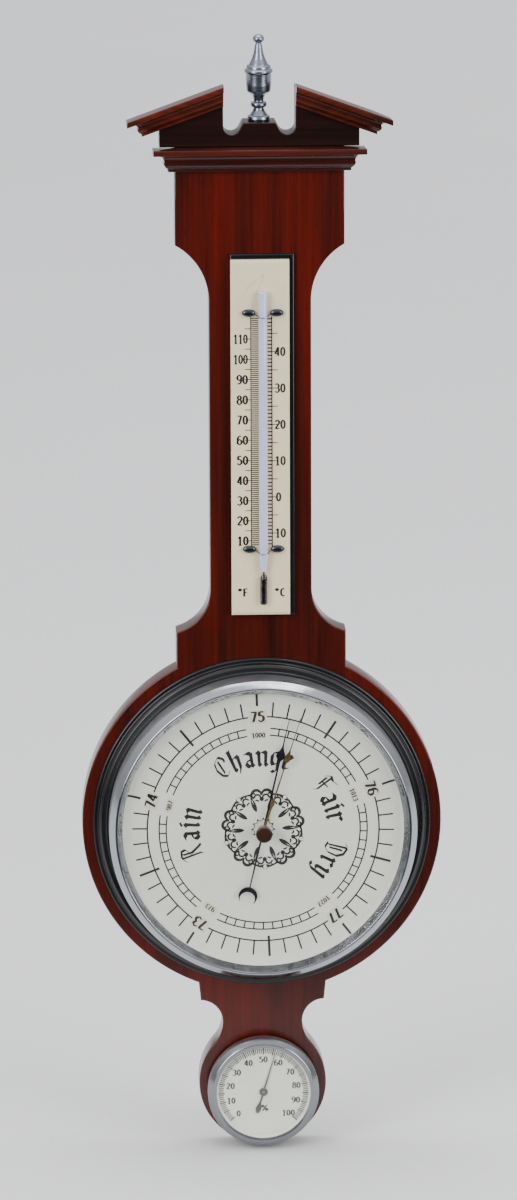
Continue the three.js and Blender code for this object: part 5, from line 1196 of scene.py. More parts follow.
dial = ring("dial_sheet", [
    (DIAL_HOLE_R, DIAL_Y, 0), (DIAL_FLAT_R, DIAL_Y, 9), (DIAL_R - 3.2, DIAL_Y - 0.6, 4),
    (DIAL_R, DIAL_RIM_Y, 0), (DIAL_R, DIAL_RIM_Y + DIAL_GAUGE, 0),
    (DIAL_R - 3.4, DIAL_Y - 0.6 + DIAL_GAUGE, 4), (DIAL_FLAT_R, DIAL_Y + DIAL_GAUGE, 9),
    (DIAL_HOLE_R, DIAL_Y + DIAL_GAUGE, 0)], dial_paint)
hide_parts("dial_plate")

pan_rim, flange_y = DIAL_Y + 0.41, RING_FRONT - JOINT
pan = ring("steel_pan", [
    (0, pan_back, 0), (CASE_R, pan_back, 1.5), (CASE_R, flange_y, 0.2), (FLANGE_OUT, flange_y, 0.2),
    (FLANGE_OUT, flange_y - FLANGE_THICK, 0.2), (CASE_R, flange_y - FLANGE_THICK, 0.2),
    (CASE_R, pan_rim, 0.2), (CASE_R - PAN_WALL, pan_rim, 0.2),
    (CASE_R - PAN_WALL, pan_back - PAN_WALL, 1.0), (0, pan_back - PAN_WALL, 0)],
    steel, closed=False)
screw_x = sum(reach("adjusting_screw"))[0] / 2
carve(pan, piece("screw_hole", *rod(screw_x, 0, SCREW_HOLE, 1, pan_back - 3, 40), steel))
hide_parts("instrument_case")
print("rings:", [o.name for o in (black, bezel, mirror, lens_glass, dial, pan)])

# %% [markdown]
# The hygrometer is built the same way at a third of the size. Its cup has a flange with a crown
# of spring tabs, which grip the bezel and show as small squares above it.

# %% The hygrometer's rings
rim_low, rim_high = reach("hygrometer_bezel")
small_low, small_high = reach("hygrometer_glass")
HYGRO_R, HYGRO_LIP_R, HYGRO_GLASS_R = 34.9, 29.4, 31.4
HYGRO_LIP_Y, HYGRO_REAR, HYGRO_DIAL_Y = rim_low[1], rim_high[1], -28.0
FLANGE_Y, FLANGE_R, CUP_BACK = -22.8, 34.0, hygro_high[1]
middle = (0, HYGRO_Z)

small_bezel = ring("hygrometer_rim", [
    (HYGRO_R, HYGRO_REAR, 0.2), (HYGRO_R, HYGRO_LIP_Y + 2.9, 0.5),
    (HYGRO_R - 3.1, HYGRO_LIP_Y + 0.05, 1.3), (HYGRO_LIP_R, HYGRO_LIP_Y + 0.55, 0.3),
    (HYGRO_LIP_R, HYGRO_LIP_Y + 0.8, 0.1), (HYGRO_GLASS_R + 0.3, HYGRO_LIP_Y + 0.8, 0.2),
    (HYGRO_R - 0.5, HYGRO_LIP_Y + 3.2, 0.8), (HYGRO_R - 0.5, HYGRO_REAR, 0.1)],
    small_metal_painted_shade, 160, centre=middle)
refinish(small_bezel, rim_metal, lambda at: np.hypot(at[:, 0], at[:, 2] - HYGRO_Z) > HYGRO_R - 0.1)
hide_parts("hygrometer_bezel")

small_glass = ring("hygrometer_pane", [
    (0, small_high[1], 0), (HYGRO_GLASS_R, small_high[1], 0.3), (HYGRO_GLASS_R, small_low[1], 0.3),
    (0, small_low[1], 0)], pane, 128, closed=False, centre=middle)
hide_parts("hygrometer_glass")

rim_y, back_y = small_high[1] + JOINT, HYGRO_DIAL_Y + 0.6
small_dial = ring("hygrometer_face", [
    (1.0, back_y, 0), (HYGRO_CASE_R, back_y, 0.5), (HYGRO_GLASS_R, rim_y, 0),
    (HYGRO_GLASS_R - 0.8, rim_y, 0), (28.3, HYGRO_DIAL_Y, 1.0), (1.0, HYGRO_DIAL_Y, 0)],
    hygro_paint, 128, centre=middle)
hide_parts("hygrometer_dial")

TABS, TAB_WIDE = 12, 4.3
CUP_WALL, CUP_SEAT = 0.8, back_y + JOINT
ARBOR_HOLE, BOSS_R, BOSS_DEEP = 0.78, 2.2, 3.3
COIL_STUD_X, COIL_STUD_R, COIL_STUD_END = 12.125, 0.7, -18
VENTS, VENT_R, VENT_CIRCLE, VENT_DEEP = 4, 1.6, 16.9, 7


def tabs():
    """Small upright plates round the flange, each turned a twelfth further."""
    low, high = (-TAB_WIDE / 2, 0, FLANGE_R - 1.2), (TAB_WIDE / 2, 0, FLANGE_R - 0.3)
    outline = softened(rectangle(low, high), 0.3, 4)
    points, faces = plate(outline, BOARD_FRONT - JOINT, FLANGE_Y - 0.4, 0.1, 0.1, steps=2)
    angles = np.arange(TABS)[:, None] * 360 / TABS
    x, z = np.moveaxis(clockwise(points[:, [0, 2]], angles), -1, 0)
    around = np.stack([x, points[:, 1] + 0 * x, z + HYGRO_Z], axis=-1)
    return joined(*[(part, faces) for part in around])


cup_corners = [
    (ARBOR_HOLE, CUP_BACK, 0), (HYGRO_CASE_R, CUP_BACK, 1.2), (HYGRO_CASE_R, FLANGE_Y, 0.2),
    (FLANGE_R, FLANGE_Y, 0.2), (FLANGE_R, FLANGE_Y - CUP_WALL, 0.2),
    (HYGRO_CASE_R, FLANGE_Y - CUP_WALL, 0.2), (HYGRO_CASE_R, CUP_SEAT, 0),
    (HYGRO_CASE_R - CUP_WALL, CUP_SEAT, 0), (HYGRO_CASE_R - CUP_WALL, CUP_BACK - CUP_WALL, 0.8),
    (BOSS_R, CUP_BACK - CUP_WALL, 0.2), (BOSS_R, CUP_BACK - BOSS_DEEP, 0.2),
    (ARBOR_HOLE, CUP_BACK - BOSS_DEEP, 0)]
cup_body = turned(rounded(cup_corners, 4), middle, 128)
coil_stud = rod(COIL_STUD_X, HYGRO_Z, COIL_STUD_R, CUP_BACK - 0.5, COIL_STUD_END, 12)
cup = piece("hygrometer_cup", *joined(cup_body, tabs(), coil_stud), steel)
for x, z in arc(0, HYGRO_Z, VENT_CIRCLE, 45, 315, VENTS - 1):
    carve(cup, piece("vent_tool", *rod(x, z, VENT_R, 1, -VENT_DEEP, 20), steel))
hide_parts("hygrometer_case")
print("hygrometer centred at z =", round(HYGRO_Z, 2))

# %% [markdown]
# The scales are printed, so they are thin shapes that lie a hair in front of the dial. A wide pen
# explains most of print: its tip is a short line that never turns, so a stroke is broad one way
# and thin the other. Each step of a stroke then covers one parallelogram, and all of them are
# found at once. A second, tiny tip keeps the thin strokes from vanishing.

# %% The pen
INK_LIFT = 0.03  # how far print stands in front of its surface


def penned(paths, tips):
    """A step from a to b with tip n covers a - n, a + n, b + n, b - n. Empty steps are left out."""
    quads = []
    for path in paths:
        path = np.asarray(path, float)
        a, b = path[:-1, None, :], path[1:, None, :]
        n = np.asarray(tips, float)[None]
        quads.append(np.stack([a - n, a + n, b + n, b - n], axis=2).reshape(-1, 4, 2))
    quads = np.concatenate(quads)
    p, q = quads[:, 1] - quads[:, 0], quads[:, 2] - quads[:, 0]
    return quads[np.abs(p[:, 0] * q[:, 1] - p[:, 1] * q[:, 0]) > 1e-5]


def bent(quads, radius, angle):
    """Print along x is laid along a circle: z adds to the radius, x / radius to the clock angle."""
    t = math.radians(angle) + quads[..., 0] / radius
    r = radius + quads[..., 1]
    return np.stack([r * np.sin(t), r * np.cos(t)], axis=-1)


def bar(x0, x1, z0, z1):
    return np.array([(x0, z0), (x1, z0), (x1, z1), (x0, z1)], float)


def spokes(angles, inner, outer, wide):
    """One short bar for each clock angle, from radius inner to outer."""
    return clockwise(bar(-wide / 2, wide / 2, inner, outer), np.reshape(angles, (-1, 1)))


def band(radius, wide, start, end, step=2.0):
    """A line of its own width along a circle, between two clock angles."""
    t = np.radians(np.linspace(start, end, max(2, int(abs(end - start) / step) + 2)))
    way = np.stack([np.sin(t), np.cos(t)], axis=1)
    return between(way * (radius - wide / 2), way * (radius + wide / 2))


def between(a, b):
    """The quads between two rows of points."""
    return np.stack([a[:-1], a[1:], b[1:], b[:-1]], axis=1)


def printed(name, shapes, depth, material, centre=(0, 0)):
    """Lays quads on a surface whose depth at radius r is depth(r), all turned to the viewer."""
    quads = np.concatenate([np.asarray(s, float).reshape(-1, 4, 2) for s in shapes])
    p, q = quads[:, 1] - quads[:, 0], quads[:, 3] - quads[:, 0]
    backwards = (p[:, 0] * q[:, 1] - p[:, 1] * q[:, 0]) < 0
    quads[backwards] = quads[backwards][:, ::-1]
    flat = quads.reshape(-1, 2)
    y = depth(np.hypot(flat[:, 0], flat[:, 1])) - INK_LIFT
    points = np.stack([flat[:, 0] + centre[0], y, flat[:, 1] + centre[1]], axis=1)
    faces = np.arange(len(flat)).reshape(-1, 4).tolist()
    made = piece(name, points, faces, material, closed=False)
    return made


# %% [markdown]
# Numbers are drawn in a box six tenths wide and one high, with strokes that are broad where they
# are upright. The nine is the six turned upside down.

# %% Numbers
FIGURE_TIPS = [(0.13, 0.0), (0.0, 0.07)]
FIGURES = {
    "0": [oval(0.3, 0.5, 0.22, 0.46)],
    "1": [[(0.12, 0.78), (0.32, 0.98)], [(0.32, 0.98), (0.32, 0.02)], [(0.14, 0.02), (0.5, 0.02)]],
    "2": [np.concatenate([oval(0.3, 0.72, 0.22, 0.25, 170, -20), [(0.06, 0.04)]]),
          [(0.06, 0.05), (0.54, 0.05)]],
    "3": [oval(0.28, 0.74, 0.2, 0.23, 150, -90), oval(0.28, 0.28, 0.24, 0.26, 90, -150)],
    "4": [[(0.4, 0.98), (0.04, 0.28)], [(0.04, 0.28), (0.58, 0.28)], [(0.42, 0.98), (0.42, 0.02)]],
    "5": [[(0.5, 0.96), (0.14, 0.96)], [(0.12, 0.96), (0.12, 0.55)],
          oval(0.28, 0.33, 0.24, 0.3, 130, -150)],
    "6": [oval(0.34, 0.5, 0.27, 0.47, 60, 180), oval(0.3, 0.3, 0.24, 0.28, 180, 540)],
    "7": [[(0.08, 0.95), (0.54, 0.95)], [(0.52, 0.95), (0.22, 0.02)]],
    "8": [oval(0.3, 0.74, 0.19, 0.22), oval(0.3, 0.27, 0.24, 0.27)],
    "F": [[(0.1, 0.98), (0.1, 0.02)], [(0.1, 0.96), (0.5, 0.96)], [(0.1, 0.52), (0.42, 0.52)]],
    "C": [oval(0.32, 0.5, 0.24, 0.46, 50, 310)],
    "%": [oval(0.0, 0.76, 0.15, 0.2), oval(0.6, 0.24, 0.15, 0.2), [(0.62, 0.98), (-0.02, 0.02)]],
    "o": [oval(0.3, 0.84, 0.13, 0.13)],
}
FIGURES["9"] = [(0.6, 1.0) - np.asarray(path) for path in FIGURES["6"]]


def figures(text, high, x=0.0, z=0.0, step=0.7, narrow=1.0, ends=False):
    """The text centred on (x, z), or ending at x if asked, and squeezed by the last factor."""
    parts = [penned(FIGURES[mark], FIGURE_TIPS) + (k * step, 0) for k, mark in enumerate(text)]
    wide = (len(text) - 1) * step + 0.6
    start = wide if ends else wide / 2
    return (np.concatenate(parts) - (start, 0.5)) * (high * narrow, high) + (x, z)


# %% [markdown]
# The weather words follow the round of the dial in an old upright hand. It is written with a
# square cut nib held aslant, and almost every letter is built from one short upright with a kink
# at both ends, the minim. A letter is a width and a few paths, with the height of a small letter
# as one.

# %% Letters of the weather words
PEN_TIPS = [(0.11, 0.095), (0.022, -0.03)]
FINE_TIPS = [(0.066, 0.056), (0.014, -0.02)]  # for capitals
MINIM = np.array([(-0.08, 1.0), (0.05, 0.86), (0.05, 0.14), (0.18, 0.0)])
DOT = [(-0.02, 1.28), (0.08, 1.18)]
BOWL_A = [[(0.02, 0.92), (0.2, 1.0), (0.42, 0.86), (0.42, 0.14), (0.55, 0.0)],
          [(0.42, 0.5), (0.1, 0.42), (0.0, 0.28), (0.12, 0.1), (0.28, 0.0), (0.42, 0.14)]]
TAIL = [(0.36, 0.98), (0.46, 0.9), (0.46, -0.2), (0.3, -0.38), (0.05, -0.3)]
LETTERS = {
    "a": (0.62, BOWL_A),
    "i": (0.2, [MINIM, DOT]),
    "n": (0.66, [MINIM, MINIM + (0.45, 0), [(0.05, 0.8), (0.37, 1.0)]]),
    "h": (0.64, [[(0.05, 1.5), (0.05, 0.14), (0.18, 0.0)], [(-0.08, 1.4), (0.05, 1.52)],
                 [(0.05, 0.8), (0.37, 1.0), (0.48, 0.86), (0.48, 0.14), (0.3, -0.2)]]),
    "g": (0.62, [[(0.36, 1.0), (0.12, 0.95), (0.0, 0.8), (0.0, 0.3), (0.14, 0.1), (0.42, 0.28)],
                 TAIL]),
    "e": (0.52, [[(0.42, 0.16), (0.16, 0.0), (0.0, 0.15), (0.0, 0.82), (0.2, 1.0), (0.4, 0.82),
                  (0.1, 0.5)]]),
    "r": (0.48, [MINIM, [(0.05, 0.82), (0.26, 1.0), (0.42, 0.86)]]),
    "y": (0.62, [[(-0.08, 1.0), (0.05, 0.86), (0.05, 0.2), (0.2, 0.02), (0.42, 0.24)], TAIL]),
    "R": (0.86, [[(0.14, 1.45), (0.14, 0.1), (-0.02, 0.0)],
                 [(-0.15, 1.25), (0.15, 1.5), (0.55, 1.4), (0.62, 1.1), (0.2, 0.8)],
                 [(0.3, 0.8), (0.62, 0.2), (0.8, 0.0)], [(0.34, 1.36), (0.34, 0.6)]]),
    "C": (0.84, [[(0.72, 1.2), (0.5, 1.46), (0.15, 1.2), (0.02, 0.7), (0.15, 0.2), (0.45, 0.0),
                  (0.78, 0.25)], [(0.38, 1.22), (0.38, 0.26)], [(0.72, 1.2), (0.74, 0.95)]]),
    "F": (0.78, [[(0.3, 1.4), (0.3, 0.2), (0.1, 0.0)], [(-0.02, 1.2), (0.2, 1.5), (0.5, 1.35),
                                                        (0.82, 1.5)],
                 [(0.08, 0.8), (0.62, 0.85)], [(0.1, 1.2), (0.1, 0.5)]]),
    "D": (0.86, [[(-0.08, 1.3), (0.2, 1.5), (0.6, 1.35), (0.82, 0.95), (0.76, 0.3), (0.45, 0.02),
                  (0.05, 0.14)], [(0.2, 1.44), (0.2, 0.2)], [(0.4, 1.2), (0.4, 0.3)]]),
}
print(len(FIGURES), "numbers and signs,", len(LETTERS), "letters")


# %% Setting a word round the dial
def word(text, small, radius, angle, space=0.16):
    """The letters side by side, with the middle of the word at the clock angle."""
    widths = [LETTERS[c][0] + space for c in text]
    starts = np.cumsum([0.0] + widths[:-1])
    parts = [penned(LETTERS[c][1], FINE_TIPS if c.isupper() else PEN_TIPS) + (x, 0)
             for c, x in zip(text, starts)]
    quads = (np.concatenate(parts) - ((sum(widths) - space) / 2, 0.5)) * small
    return bent(quads, radius, angle)


dial_line = rounded([(0, DIAL_Y, 0), (DIAL_FLAT_R, DIAL_Y, 9), (DIAL_R - 3.2, DIAL_Y - 0.6, 4),
                     (DIAL_R, DIAL_RIM_Y, 0)], closed=False)
DIAL_TURN = -2.6  # the sheet sits a little askew in its pan
WORD_HIGH = 9.2


def on_dial(r):
    return np.interp(r, dial_line[:, 0], dial_line[:, 1])


words = [word("Rain", WORD_HIGH, 44.4, -92, 0.34), word("Change", WORD_HIGH, 45.2, -7, 0.26),
         word("Fair", WORD_HIGH, 44.6, 67, 0.3), word("Dry", WORD_HIGH, 44.6, 117, 0.3)]
dial_words = printed("weather_words", words, on_dial, ink)
print("weather words:", len(dial_words.data.polygons), "strokes")

# %% [markdown]
# The big scale is fifty bars on a ring, and every tenth of them stands at a number. Inside it
# runs a second scale like a ladder. Both rings stop short of the numbers, and behind each number
# the sheet is a little yellower.

# %% The barometer scale
RING_AT, BAR_END, LADDER_IN, LADDER_OUT = 71.6, 80.8, 60.0, 64.3
BARS, BAR_STEP, LABEL_STEP, RUNG_STEP = 50, 7.2, 72, 5.4
labels = [(LABEL_STEP * k + DIAL_TURN, str(75 + k), small) for k, small in
          zip(range(-2, 3), ("973", "987", "1000", "1013", "1027"))]
label_angles = np.array([angle for angle, _, _ in labels])
number = np.arange(BARS)
plain_bars = (number * BAR_STEP + DIAL_TURN)[number % 5 != 0]
mid_bars = label_angles + LABEL_STEP / 2
rungs = np.arange(2, 12) * RUNG_STEP + 0.9


def dial_scale():
    """Bars, rings, ladder and numbers, label by label."""
    shapes = [spokes(plain_bars, RING_AT, BAR_END, 1.0),
              spokes(mid_bars, RING_AT - 3.0, BAR_END + 0.8, 1.55),
              *[spokes(label_angles, low, low + 2.8, 1.5) for low in (78.3, 81.1, 83.9)]]
    for angle, big, small in labels:
        shapes += [band(RING_AT, 0.95, angle + 4.6, angle + 67.4),
                   band(LADDER_OUT, 0.84, angle + 6.6, angle + 65.4),
                   band(LADDER_IN, 0.84, angle + 6.6, angle + 65.4),
                   spokes(angle + rungs, LADDER_IN, LADDER_OUT, 0.86),
                   bent(figures(big, 6.6), RING_AT, angle),
                   bent(figures(small, 3.0), LADDER_IN, angle)]
    return shapes


printed("dial_scale", dial_scale(), on_dial, ink)
PATCHES = [(5.2, 4.2, RING_AT), (4.6, 2.4, LADDER_IN)]
patches = [bent(bar(-wide, wide, -high, high), r, angle)
           for angle in label_angles for wide, high, r in PATCHES]
printed("dial_patches", patches, lambda r: on_dial(r) + INK_LIFT / 2, dial_patch)

# %% [markdown]
# Round the middle is a rosette of ten petals, five with two round bows and five with a pointed
# crest, and between them ten leaves that point inwards. One petal of each sort and one leaf are
# drawn upright, and copies are turned round the axis.

# %% The rosette
def crescent(x, z, r, thick, start, end, steps=10, fine=0.48):
    """A bow that is thick in its middle and fine at both ends: r less thick sin(pi t) inside."""
    t = np.linspace(0, 1, steps + 1)
    angle = np.radians(start + (end - start) * t)
    way = np.stack([np.cos(angle), np.sin(angle)], axis=1)
    inner = r - fine - thick * np.sin(np.pi * t)
    return between((x, z) + way * inner[:, None], (x, z) + way * (r + fine))


def mirrored_quads(*parts):
    return [side for part in parts for side in (part, part * (-1, 1))]


def dot(x, z, r, steps=16):
    """A disc as a fan of quads between two of its half circles."""
    upper = arc(x, z, r, 0, 180, steps)
    return between(upper, upper * (1, -1) + (0, 2 * z))


def petal(pointed):
    """One petal, upright at its true distance from the axis."""
    hooks = mirrored_quads(crescent(2.5, 19.6, 1.9, 0.22, 200, -10),
                           crescent(3.1, 16.4, 1.6, 0.0, 60, 150),
                           crescent(5.0, 20.2, 2.0, 0.1, 130, 10))
    if pointed:
        wedge = [[(0.15, 25.4), (1.6, 23.9), (3.1, 23.6), (1.2, 23.4)],
                 [(1.2, 23.4), (3.1, 23.6), (2.9, 22.3), (0.15, 21.7)],
                 [(3.1, 23.6), (4.8, 23.0), (4.6, 22.2), (2.9, 22.3)],
                 [(4.8, 23.0), (6.6, 21.3), (6.3, 21.0), (4.6, 22.2)]]
        crest = mirrored_quads(np.array(wedge, float), crescent(3.9, 19.4, 3.6, 0.2, 40, -20))
    else:
        crest = mirrored_quads(crescent(3.1, 21.6, 3.0, 0.9, 190, -30))
    return np.concatenate([dot(0, 18.7, 1.3), *hooks, *crest])


def leaf():
    """Two bows that meet in a point near the axis and cross at the outer end."""
    t = np.linspace(0, 1, 13)
    z = 11.6 + 9.8 * t
    out = 0.25 + 1.3 * np.sin(np.pi * t**0.8) * (1 - 0.25 * t)
    thick = 0.75 + 0.7 * np.sin(np.pi * np.clip(1 - 1.4 * t, 0, 1))
    inner = np.stack([np.maximum(out - thick, -0.2), z], axis=1)
    return np.concatenate(mirrored_quads(between(inner, np.stack([out, z], axis=1))))


def turned_round(quads, angles):
    """A copy of the quads at every clock angle."""
    return clockwise(quads[None], np.reshape(angles, (-1, 1, 1)))


ROSE_SIZE = 1.05
star_turn = np.arange(25) * 15.0
star_out = np.stack([0 * star_turn, 5.6 + 1.1 * (np.arange(25) % 2 == 0)], axis=1)
star_path = clockwise(star_out, star_turn)
fives, tens = np.arange(5) * 72.0 + DIAL_TURN, np.arange(10) * 36.0 + DIAL_TURN
rosette = [turned_round(petal(False), fives), turned_round(petal(True), fives + 36),
           turned_round(leaf(), tens + 18), penned([star_path], [(0.26, 0.0), (0.0, 0.26)]),
           turned_round(dot(0, 6.8, 0.6, 6), np.arange(12) * 30.0)]
rosette = [part.reshape(-1, 4, 2) * ROSE_SIZE for part in rosette]
rose = printed("rosette", rosette, on_dial, ink)
print("rosette:", len(rose.data.polygons), "faces")

# %% [markdown]
# The hygrometer counts from 0 to 100 over most of a turn, with a bar for every unit. On the
# thermometer the two scales stand on both sides of the glass, each with its own spacing.

# %% The small scales
HYGRO_SWEEP, HYGRO_NUMBERS_R, HYGRO_NUMBER_HIGH = 132, 20.9, 3.9


def hygro_angle(percent):
    return (percent - 50) * HYGRO_SWEEP / 50


def hygro_scale():
    """Bars for the units, wider ones for the fives, and a number at every ten."""
    units = np.arange(101)
    fives_only = units % 5 == 0
    shapes = [spokes(hygro_angle(units[~fives_only]), 24.8, 27.9, 0.56),
              spokes(hygro_angle(units[fives_only]), 24.2, 28.2, 0.8),
              figures("%", HYGRO_NUMBER_HIGH, 0.8, -10.6)]
    for mark in range(0, 101, 10):
        t = math.radians(hygro_angle(mark))
        shapes.append(figures(str(mark), HYGRO_NUMBER_HIGH, HYGRO_NUMBERS_R * math.sin(t),
                              HYGRO_NUMBERS_R * math.cos(t)))
    return shapes


printed("hygrometer_scale", hygro_scale(), lambda r: HYGRO_DIAL_Y + 0 * r, ink,
        middle)

F_TEN, F_STEP, C_ZERO, C_STEP = 180.3, 1.265, 207.8, 2.274
SCALE_LOW, SCALE_HIGH = 177.6, 319.5
F_LINE, C_LINE = -6.0, 6.8
NUMBER_HIGH, SIGN_HIGH, SIGN_X, SIGN_Z = 5.7, 5.2, 11.4, 147.5


def bars_across(z, x0, x1, wide):
    """Level bars at heights z, from x0 to x1."""
    return bar(x0, x1, -wide / 2, wide / 2) + np.stack([0 * z, z], axis=1)[:, None]


def scale_heights(zero, step, every, first, last):
    z = zero + step * np.arange(first, last, every)
    return z[(z > SCALE_LOW) & (z < SCALE_HIGH)]


def long_line(x, wide):
    return bar(x - wide / 2, x + wide / 2, SCALE_LOW - 1, SCALE_HIGH + 1)


def left_scale():
    """The scale with 1.8 times as many steps: line, bars, side bars, numbers and sign."""
    side = scale_heights(F_TEN - 10 * F_STEP, F_STEP, 5, 0, 130)
    numbers = [figures(str(n), NUMBER_HIGH, -8.0, F_TEN + F_STEP * (n - 10), 0.7,
                       0.9 if n < 100 else 0.75, True) for n in range(10, 111, 10)]
    return [long_line(F_LINE, 0.6),
            bars_across(scale_heights(F_TEN, F_STEP, 1, -10, 120), F_LINE, -1.2, 0.6),
            bars_across(side[side < SCALE_HIGH - 4], -9.7, F_LINE, 0.5),
            *numbers, figures("oF", SIGN_HIGH, -SIGN_X, SIGN_Z)]


def right_scale():
    """The scale with the wider steps, made in the same way."""
    side = scale_heights(C_ZERO, C_STEP, 5, -15, 50)
    numbers = [figures(str(abs(n)), NUMBER_HIGH, 15.0 if n else 12.2, C_ZERO + C_STEP * n, 0.7,
                       0.85, True) for n in range(-10, 41, 10)]
    return [long_line(C_LINE, 0.7),
            bars_across(scale_heights(C_ZERO, C_STEP, 1, -20, 60), 3.9, C_LINE, 0.85),
            bars_across(side, C_LINE, 10.4, 0.52), *numbers,
            figures("oC", SIGN_HIGH, SIGN_X, SIGN_Z)]


def on_plate(r):
    return PLATE_FRONT + 0 * r


printed("fahrenheit_scale", left_scale(), on_plate, ink)
printed("celsius_scale", right_scale(), on_plate, brown_ink)
scratch_line = np.array([(-10.5, 333.5), (-8.0, 338.6), (-3.6, 342.3), (0.6, 345.6), (2.2, 346.8),
                         (0.8, 342.6), (-2.4, 335.6), (-4.4, 329.4), (-5.2, 326.0)])
curl = smooth_path(np.insert(scratch_line, 1, 0, axis=1), 6)[:, [0, 2]]
printed("old_scratch", [penned([curl], [(0.07, 0.0), (0.0, 0.07)])], on_plate, scratch_ink)
print("printed the small scales")

# %% [markdown]
# The hands are cut from thin sheet, and a hand's whole character is in its outline. It is given
# as half widths at distances from the axis, then mirrored to the other side, and the finished
# hand is turned to where it points.

# %% Cutting a hand
def hand_outline(stations, angle, radii=0.5):
    """Each station is (distance along the hand, half width). Up one side, then down the other."""
    side = np.array(stations, float)
    up = np.stack([side[:, 1], side[:, 0]], axis=1)
    whole = np.concatenate([up, up[::-1] * (-1, 1)])
    return clockwise(softened(whole, radii, 3), angle)


def sheet(outline, rear, front):
    return plate(outline, rear, front, 0.06, 0.1, steps=2)


def hub(r, bore, rear, front, centre=(0, 0)):
    """A turned collar with its edges rounded and a shallow dish round the bore."""
    dish = front + 0.12
    return turned(rounded([(bore, rear, 0.05), (r, rear, 0.1), (r, front, 0.25),
                           (r * 0.75, front, 0.05), (r * 0.66, dish, 0.05), (bore, dish, 0.05)], 3),
                  centre, 48)


def moon(distance, r, bite, offset, angle):
    """Between two circles that cross: the outer bow and the bite, both end in the same two points.
    They cross at z = (bite^2 - r^2 - offset^2) / (2 offset) from the outer centre."""
    z = (bite**2 - r**2 - offset**2) / (2 * offset)
    x = math.sqrt(r**2 - z**2)
    first, second = math.degrees(math.atan2(z, x)), math.degrees(math.atan2(z + offset, x))
    bow = arc(0, -distance, r, first, 180 - first, 28)
    inner = arc(0, -distance - offset, bite, 180 - second, second, 24)[1:-1]
    return clockwise(np.concatenate([bow, inner]), angle)


# %% The barometer's two hands
PRESSURE_TURN, SET_TURN = 13, 18
PRESSURE_SHEET = (-39.9, -40.3)
SET_SHEET = (-42.1, -42.5)
spade = [(-38.2, 0.42), (0, 0.75), (43.6, 0.5), (44.9, 0.55), (46.2, 1.5), (47.3, 2.7),
         (48.5, 3.0), (50.2, 2.3), (52.2, 1.25), (54.0, 0.62), (55.4, 0.42), (72.4, 0.15)]
pressure_parts = [sheet(hand_outline(spade, PRESSURE_TURN, 1.2), *PRESSURE_SHEET),
                  sheet(moon(43.6, 5.9, 4.7, 1.9, PRESSURE_TURN), *PRESSURE_SHEET),
                  hub(3.2, 1.12, -39.1, -41.0)]
pressure = piece("black_hand", *joined(*pressure_parts), blued, body="pointer")
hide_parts("pressure_hand")

gilt_leaf = [(0, 0.7), (14.6, 0.55), (16.2, 0.75), (17.6, 1.25), (18.9, 1.3), (20.6, 0.8),
             (22.2, 0.5), (44.4, 0.38), (45.4, 0.5), (46.4, 1.2), (47.2, 2.0), (48.0, 1.35),
             (49.2, 2.3), (50.4, 1.5), (51.6, 0.95), (53.0, 0.6), (54.2, 0.34), (75.2, 0.13)]
set_parts = [sheet(hand_outline(gilt_leaf, SET_TURN), *SET_SHEET), hub(3.2, 2.02, -42.0, -42.8)]
set_pointer = piece("gilt_hand", *joined(*set_parts), gilt, body="set_pointer")
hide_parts("set_hand")

KNOB_CORNERS = [(0, -42.1, 0), (2.0, -42.1, 0.2), (2.0, -46.98, 0), (3.7, -46.98, 0.1),
                (4.7, -47.7, 0.4), (5.1, -48.9, 0.5), (5.1, -52.3, 0.3), (4.6, -53.1, 0.4),
                (3.9, -53.15, 1.2), (0, -53.19, 0)]
knob = piece("polished_knob", *turned(rounded(KNOB_CORNERS, closed=False), (0, 0), 72,
                                      closed=False), brass, body="set_pointer")
refinish(knob, knob_paint, lambda at: (at[:, 1] < -52.2) | (np.hypot(at[:, 0], at[:, 2]) > 4.2))
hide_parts("set_knob")
print("hands:", [o.name for o in (pressure, set_pointer, knob)])

# %% The hygrometer's hand
HYGRO_TURN = 16.3
hygro_stations = [(-14.6, 0.35), (-13.4, 1.1), (-11.6, 1.75), (-10.2, 1.55), (-8.2, 0.75),
                  (-6.8, 0.5), (0, 0.62), (2.4, 0.5), (25.3, 0.16)]
hygro_outline = hand_outline(hygro_stations, HYGRO_TURN) + (0, HYGRO_Z)
hygro_parts = [sheet(hygro_outline, -28.6, -28.95), hub(2.55, 0.3, -28.4, -29.3, middle)]
hygro_hand = piece("grey_hand", *joined(*hygro_parts), hand_paint, body="hygrometer_pointer")
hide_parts("hygrometer_hand")
print("hygrometer hand", len(hygro_hand.data.polygons), "faces")

# %% [markdown]
# Inside, one piece is made anew: the capsule that feels the air. Its front breathes in and out with
# the stud while its back stays on the base, but here it is one still piece that belongs to no body.
# Both faces are corrugated, and the front slopes to the rim.

# %% The breathing capsule
WAVES, WAVE_HIGH, CAPSULE_SLOPE = 3, 0.9, 1.6
SEAT_R, SCREW_HOLE_R, STUD_HOLE_R, STUD_HOLE_DEEP, CAPSULE_EDGE = 4.2, 1.68, 2.08, 1.2, 0.5
capsule_low, capsule_high = reach("aneroid_capsule")
capsule_x = (capsule_low[0] + capsule_high[0]) / 2
capsule_r = (capsule_high[0] - capsule_low[0]) / 2
capsule_front, capsule_foot = capsule_low[1], capsule_high[1]


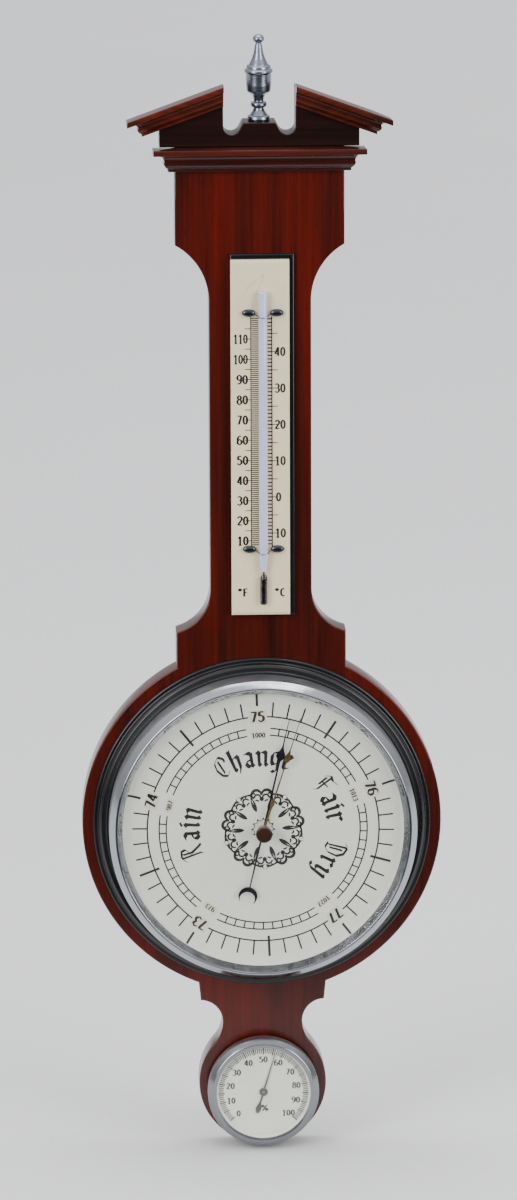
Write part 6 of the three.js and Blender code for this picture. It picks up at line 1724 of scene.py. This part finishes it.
def capsule_profile():
    """With t from 0 at the seat to 1 at the rim, a face dips by high (1 - cos(2 pi waves t)) / 2,
    and by slope times t squared."""
    t = np.linspace(0, 1, 48)
    r = SEAT_R + 0.4 + (capsule_r - 1.5 - SEAT_R - 0.4) * t
    dip = WAVE_HIGH * (1 - np.cos(2 * np.pi * WAVES * t)) / 2 + CAPSULE_SLOPE * t**2
    rim, rear = capsule_front + 3.4, capsule_front + 6.8
    back = np.stack([r, rear - 0.9 * dip], axis=1)
    front = np.stack([r, capsule_front + dip], axis=1)[::-1]
    socket = capsule_front + STUD_HOLE_DEEP
    return np.concatenate([
        [(0, rear), (SCREW_HOLE_R, rear), (SCREW_HOLE_R, capsule_foot), (SEAT_R, capsule_foot),
         (SEAT_R, rear)], back,
        [(capsule_r, rim + CAPSULE_EDGE), (capsule_r, rim - CAPSULE_EDGE)], front,
        [(STUD_HOLE_R, capsule_front), (STUD_HOLE_R, socket), (0, socket)]])


capsule = piece("breathing_capsule",
                *turned(capsule_profile(), (capsule_x, 0), 72, closed=False), brass, body=None)
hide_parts("aneroid_capsule")
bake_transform(capsule)
print("capsule:", len(capsule.data.polygons), "faces")

# %% [markdown]
# The nodes that keep their own shape get their finish now. An object's surface reads the first
# slot of its mesh, so the finish is set there.

# %% Finishes for the nodes that stay
def finish_node(name, material):
    made = bpy.data.objects.get(name)
    if made is None:
        raise RuntimeError("no node " + name)
    made.data.materials.clear()
    made.data.materials.append(material)


STAYING = {
    steel: ["hanger_plate", "hanger_screw_left", "hanger_screw_right", "capsule_stud",
            "adjusting_screw", "rocking_shaft", "sector_arbor", "pointer_arbor",
            "hygrometer_arbor", "case_screw_1", "case_screw_2", "case_screw_3", "knob_bush"],
    brass: ["movement_base", "rocker_bracket_lower", "rocker_bracket_upper",
            "movement_plate_back", "movement_plate_front", "movement_pillar_1",
            "movement_pillar_2", "movement_pillar_3", "sector_gear", "humidity_coil"],
    blued: ["hairspring"],
}
for material, names in STAYING.items():
    for name in names:
        finish_node(name, material)
print(sum(map(len, STAYING.values())), "nodes keep their shape")

# %% [markdown]
# Last come the sizes. The new surfaces are meant to stay inside the box of the model that they
# dress, and how far the new box reaches past the old one on each side is printed.

# %% Compare the sizes and finish
low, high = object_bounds()
past = [round((a - b) / MM, 2) for a, b in zip((*low, *high), (*cad_low, *cad_high))]
print("new pieces stay within", past)
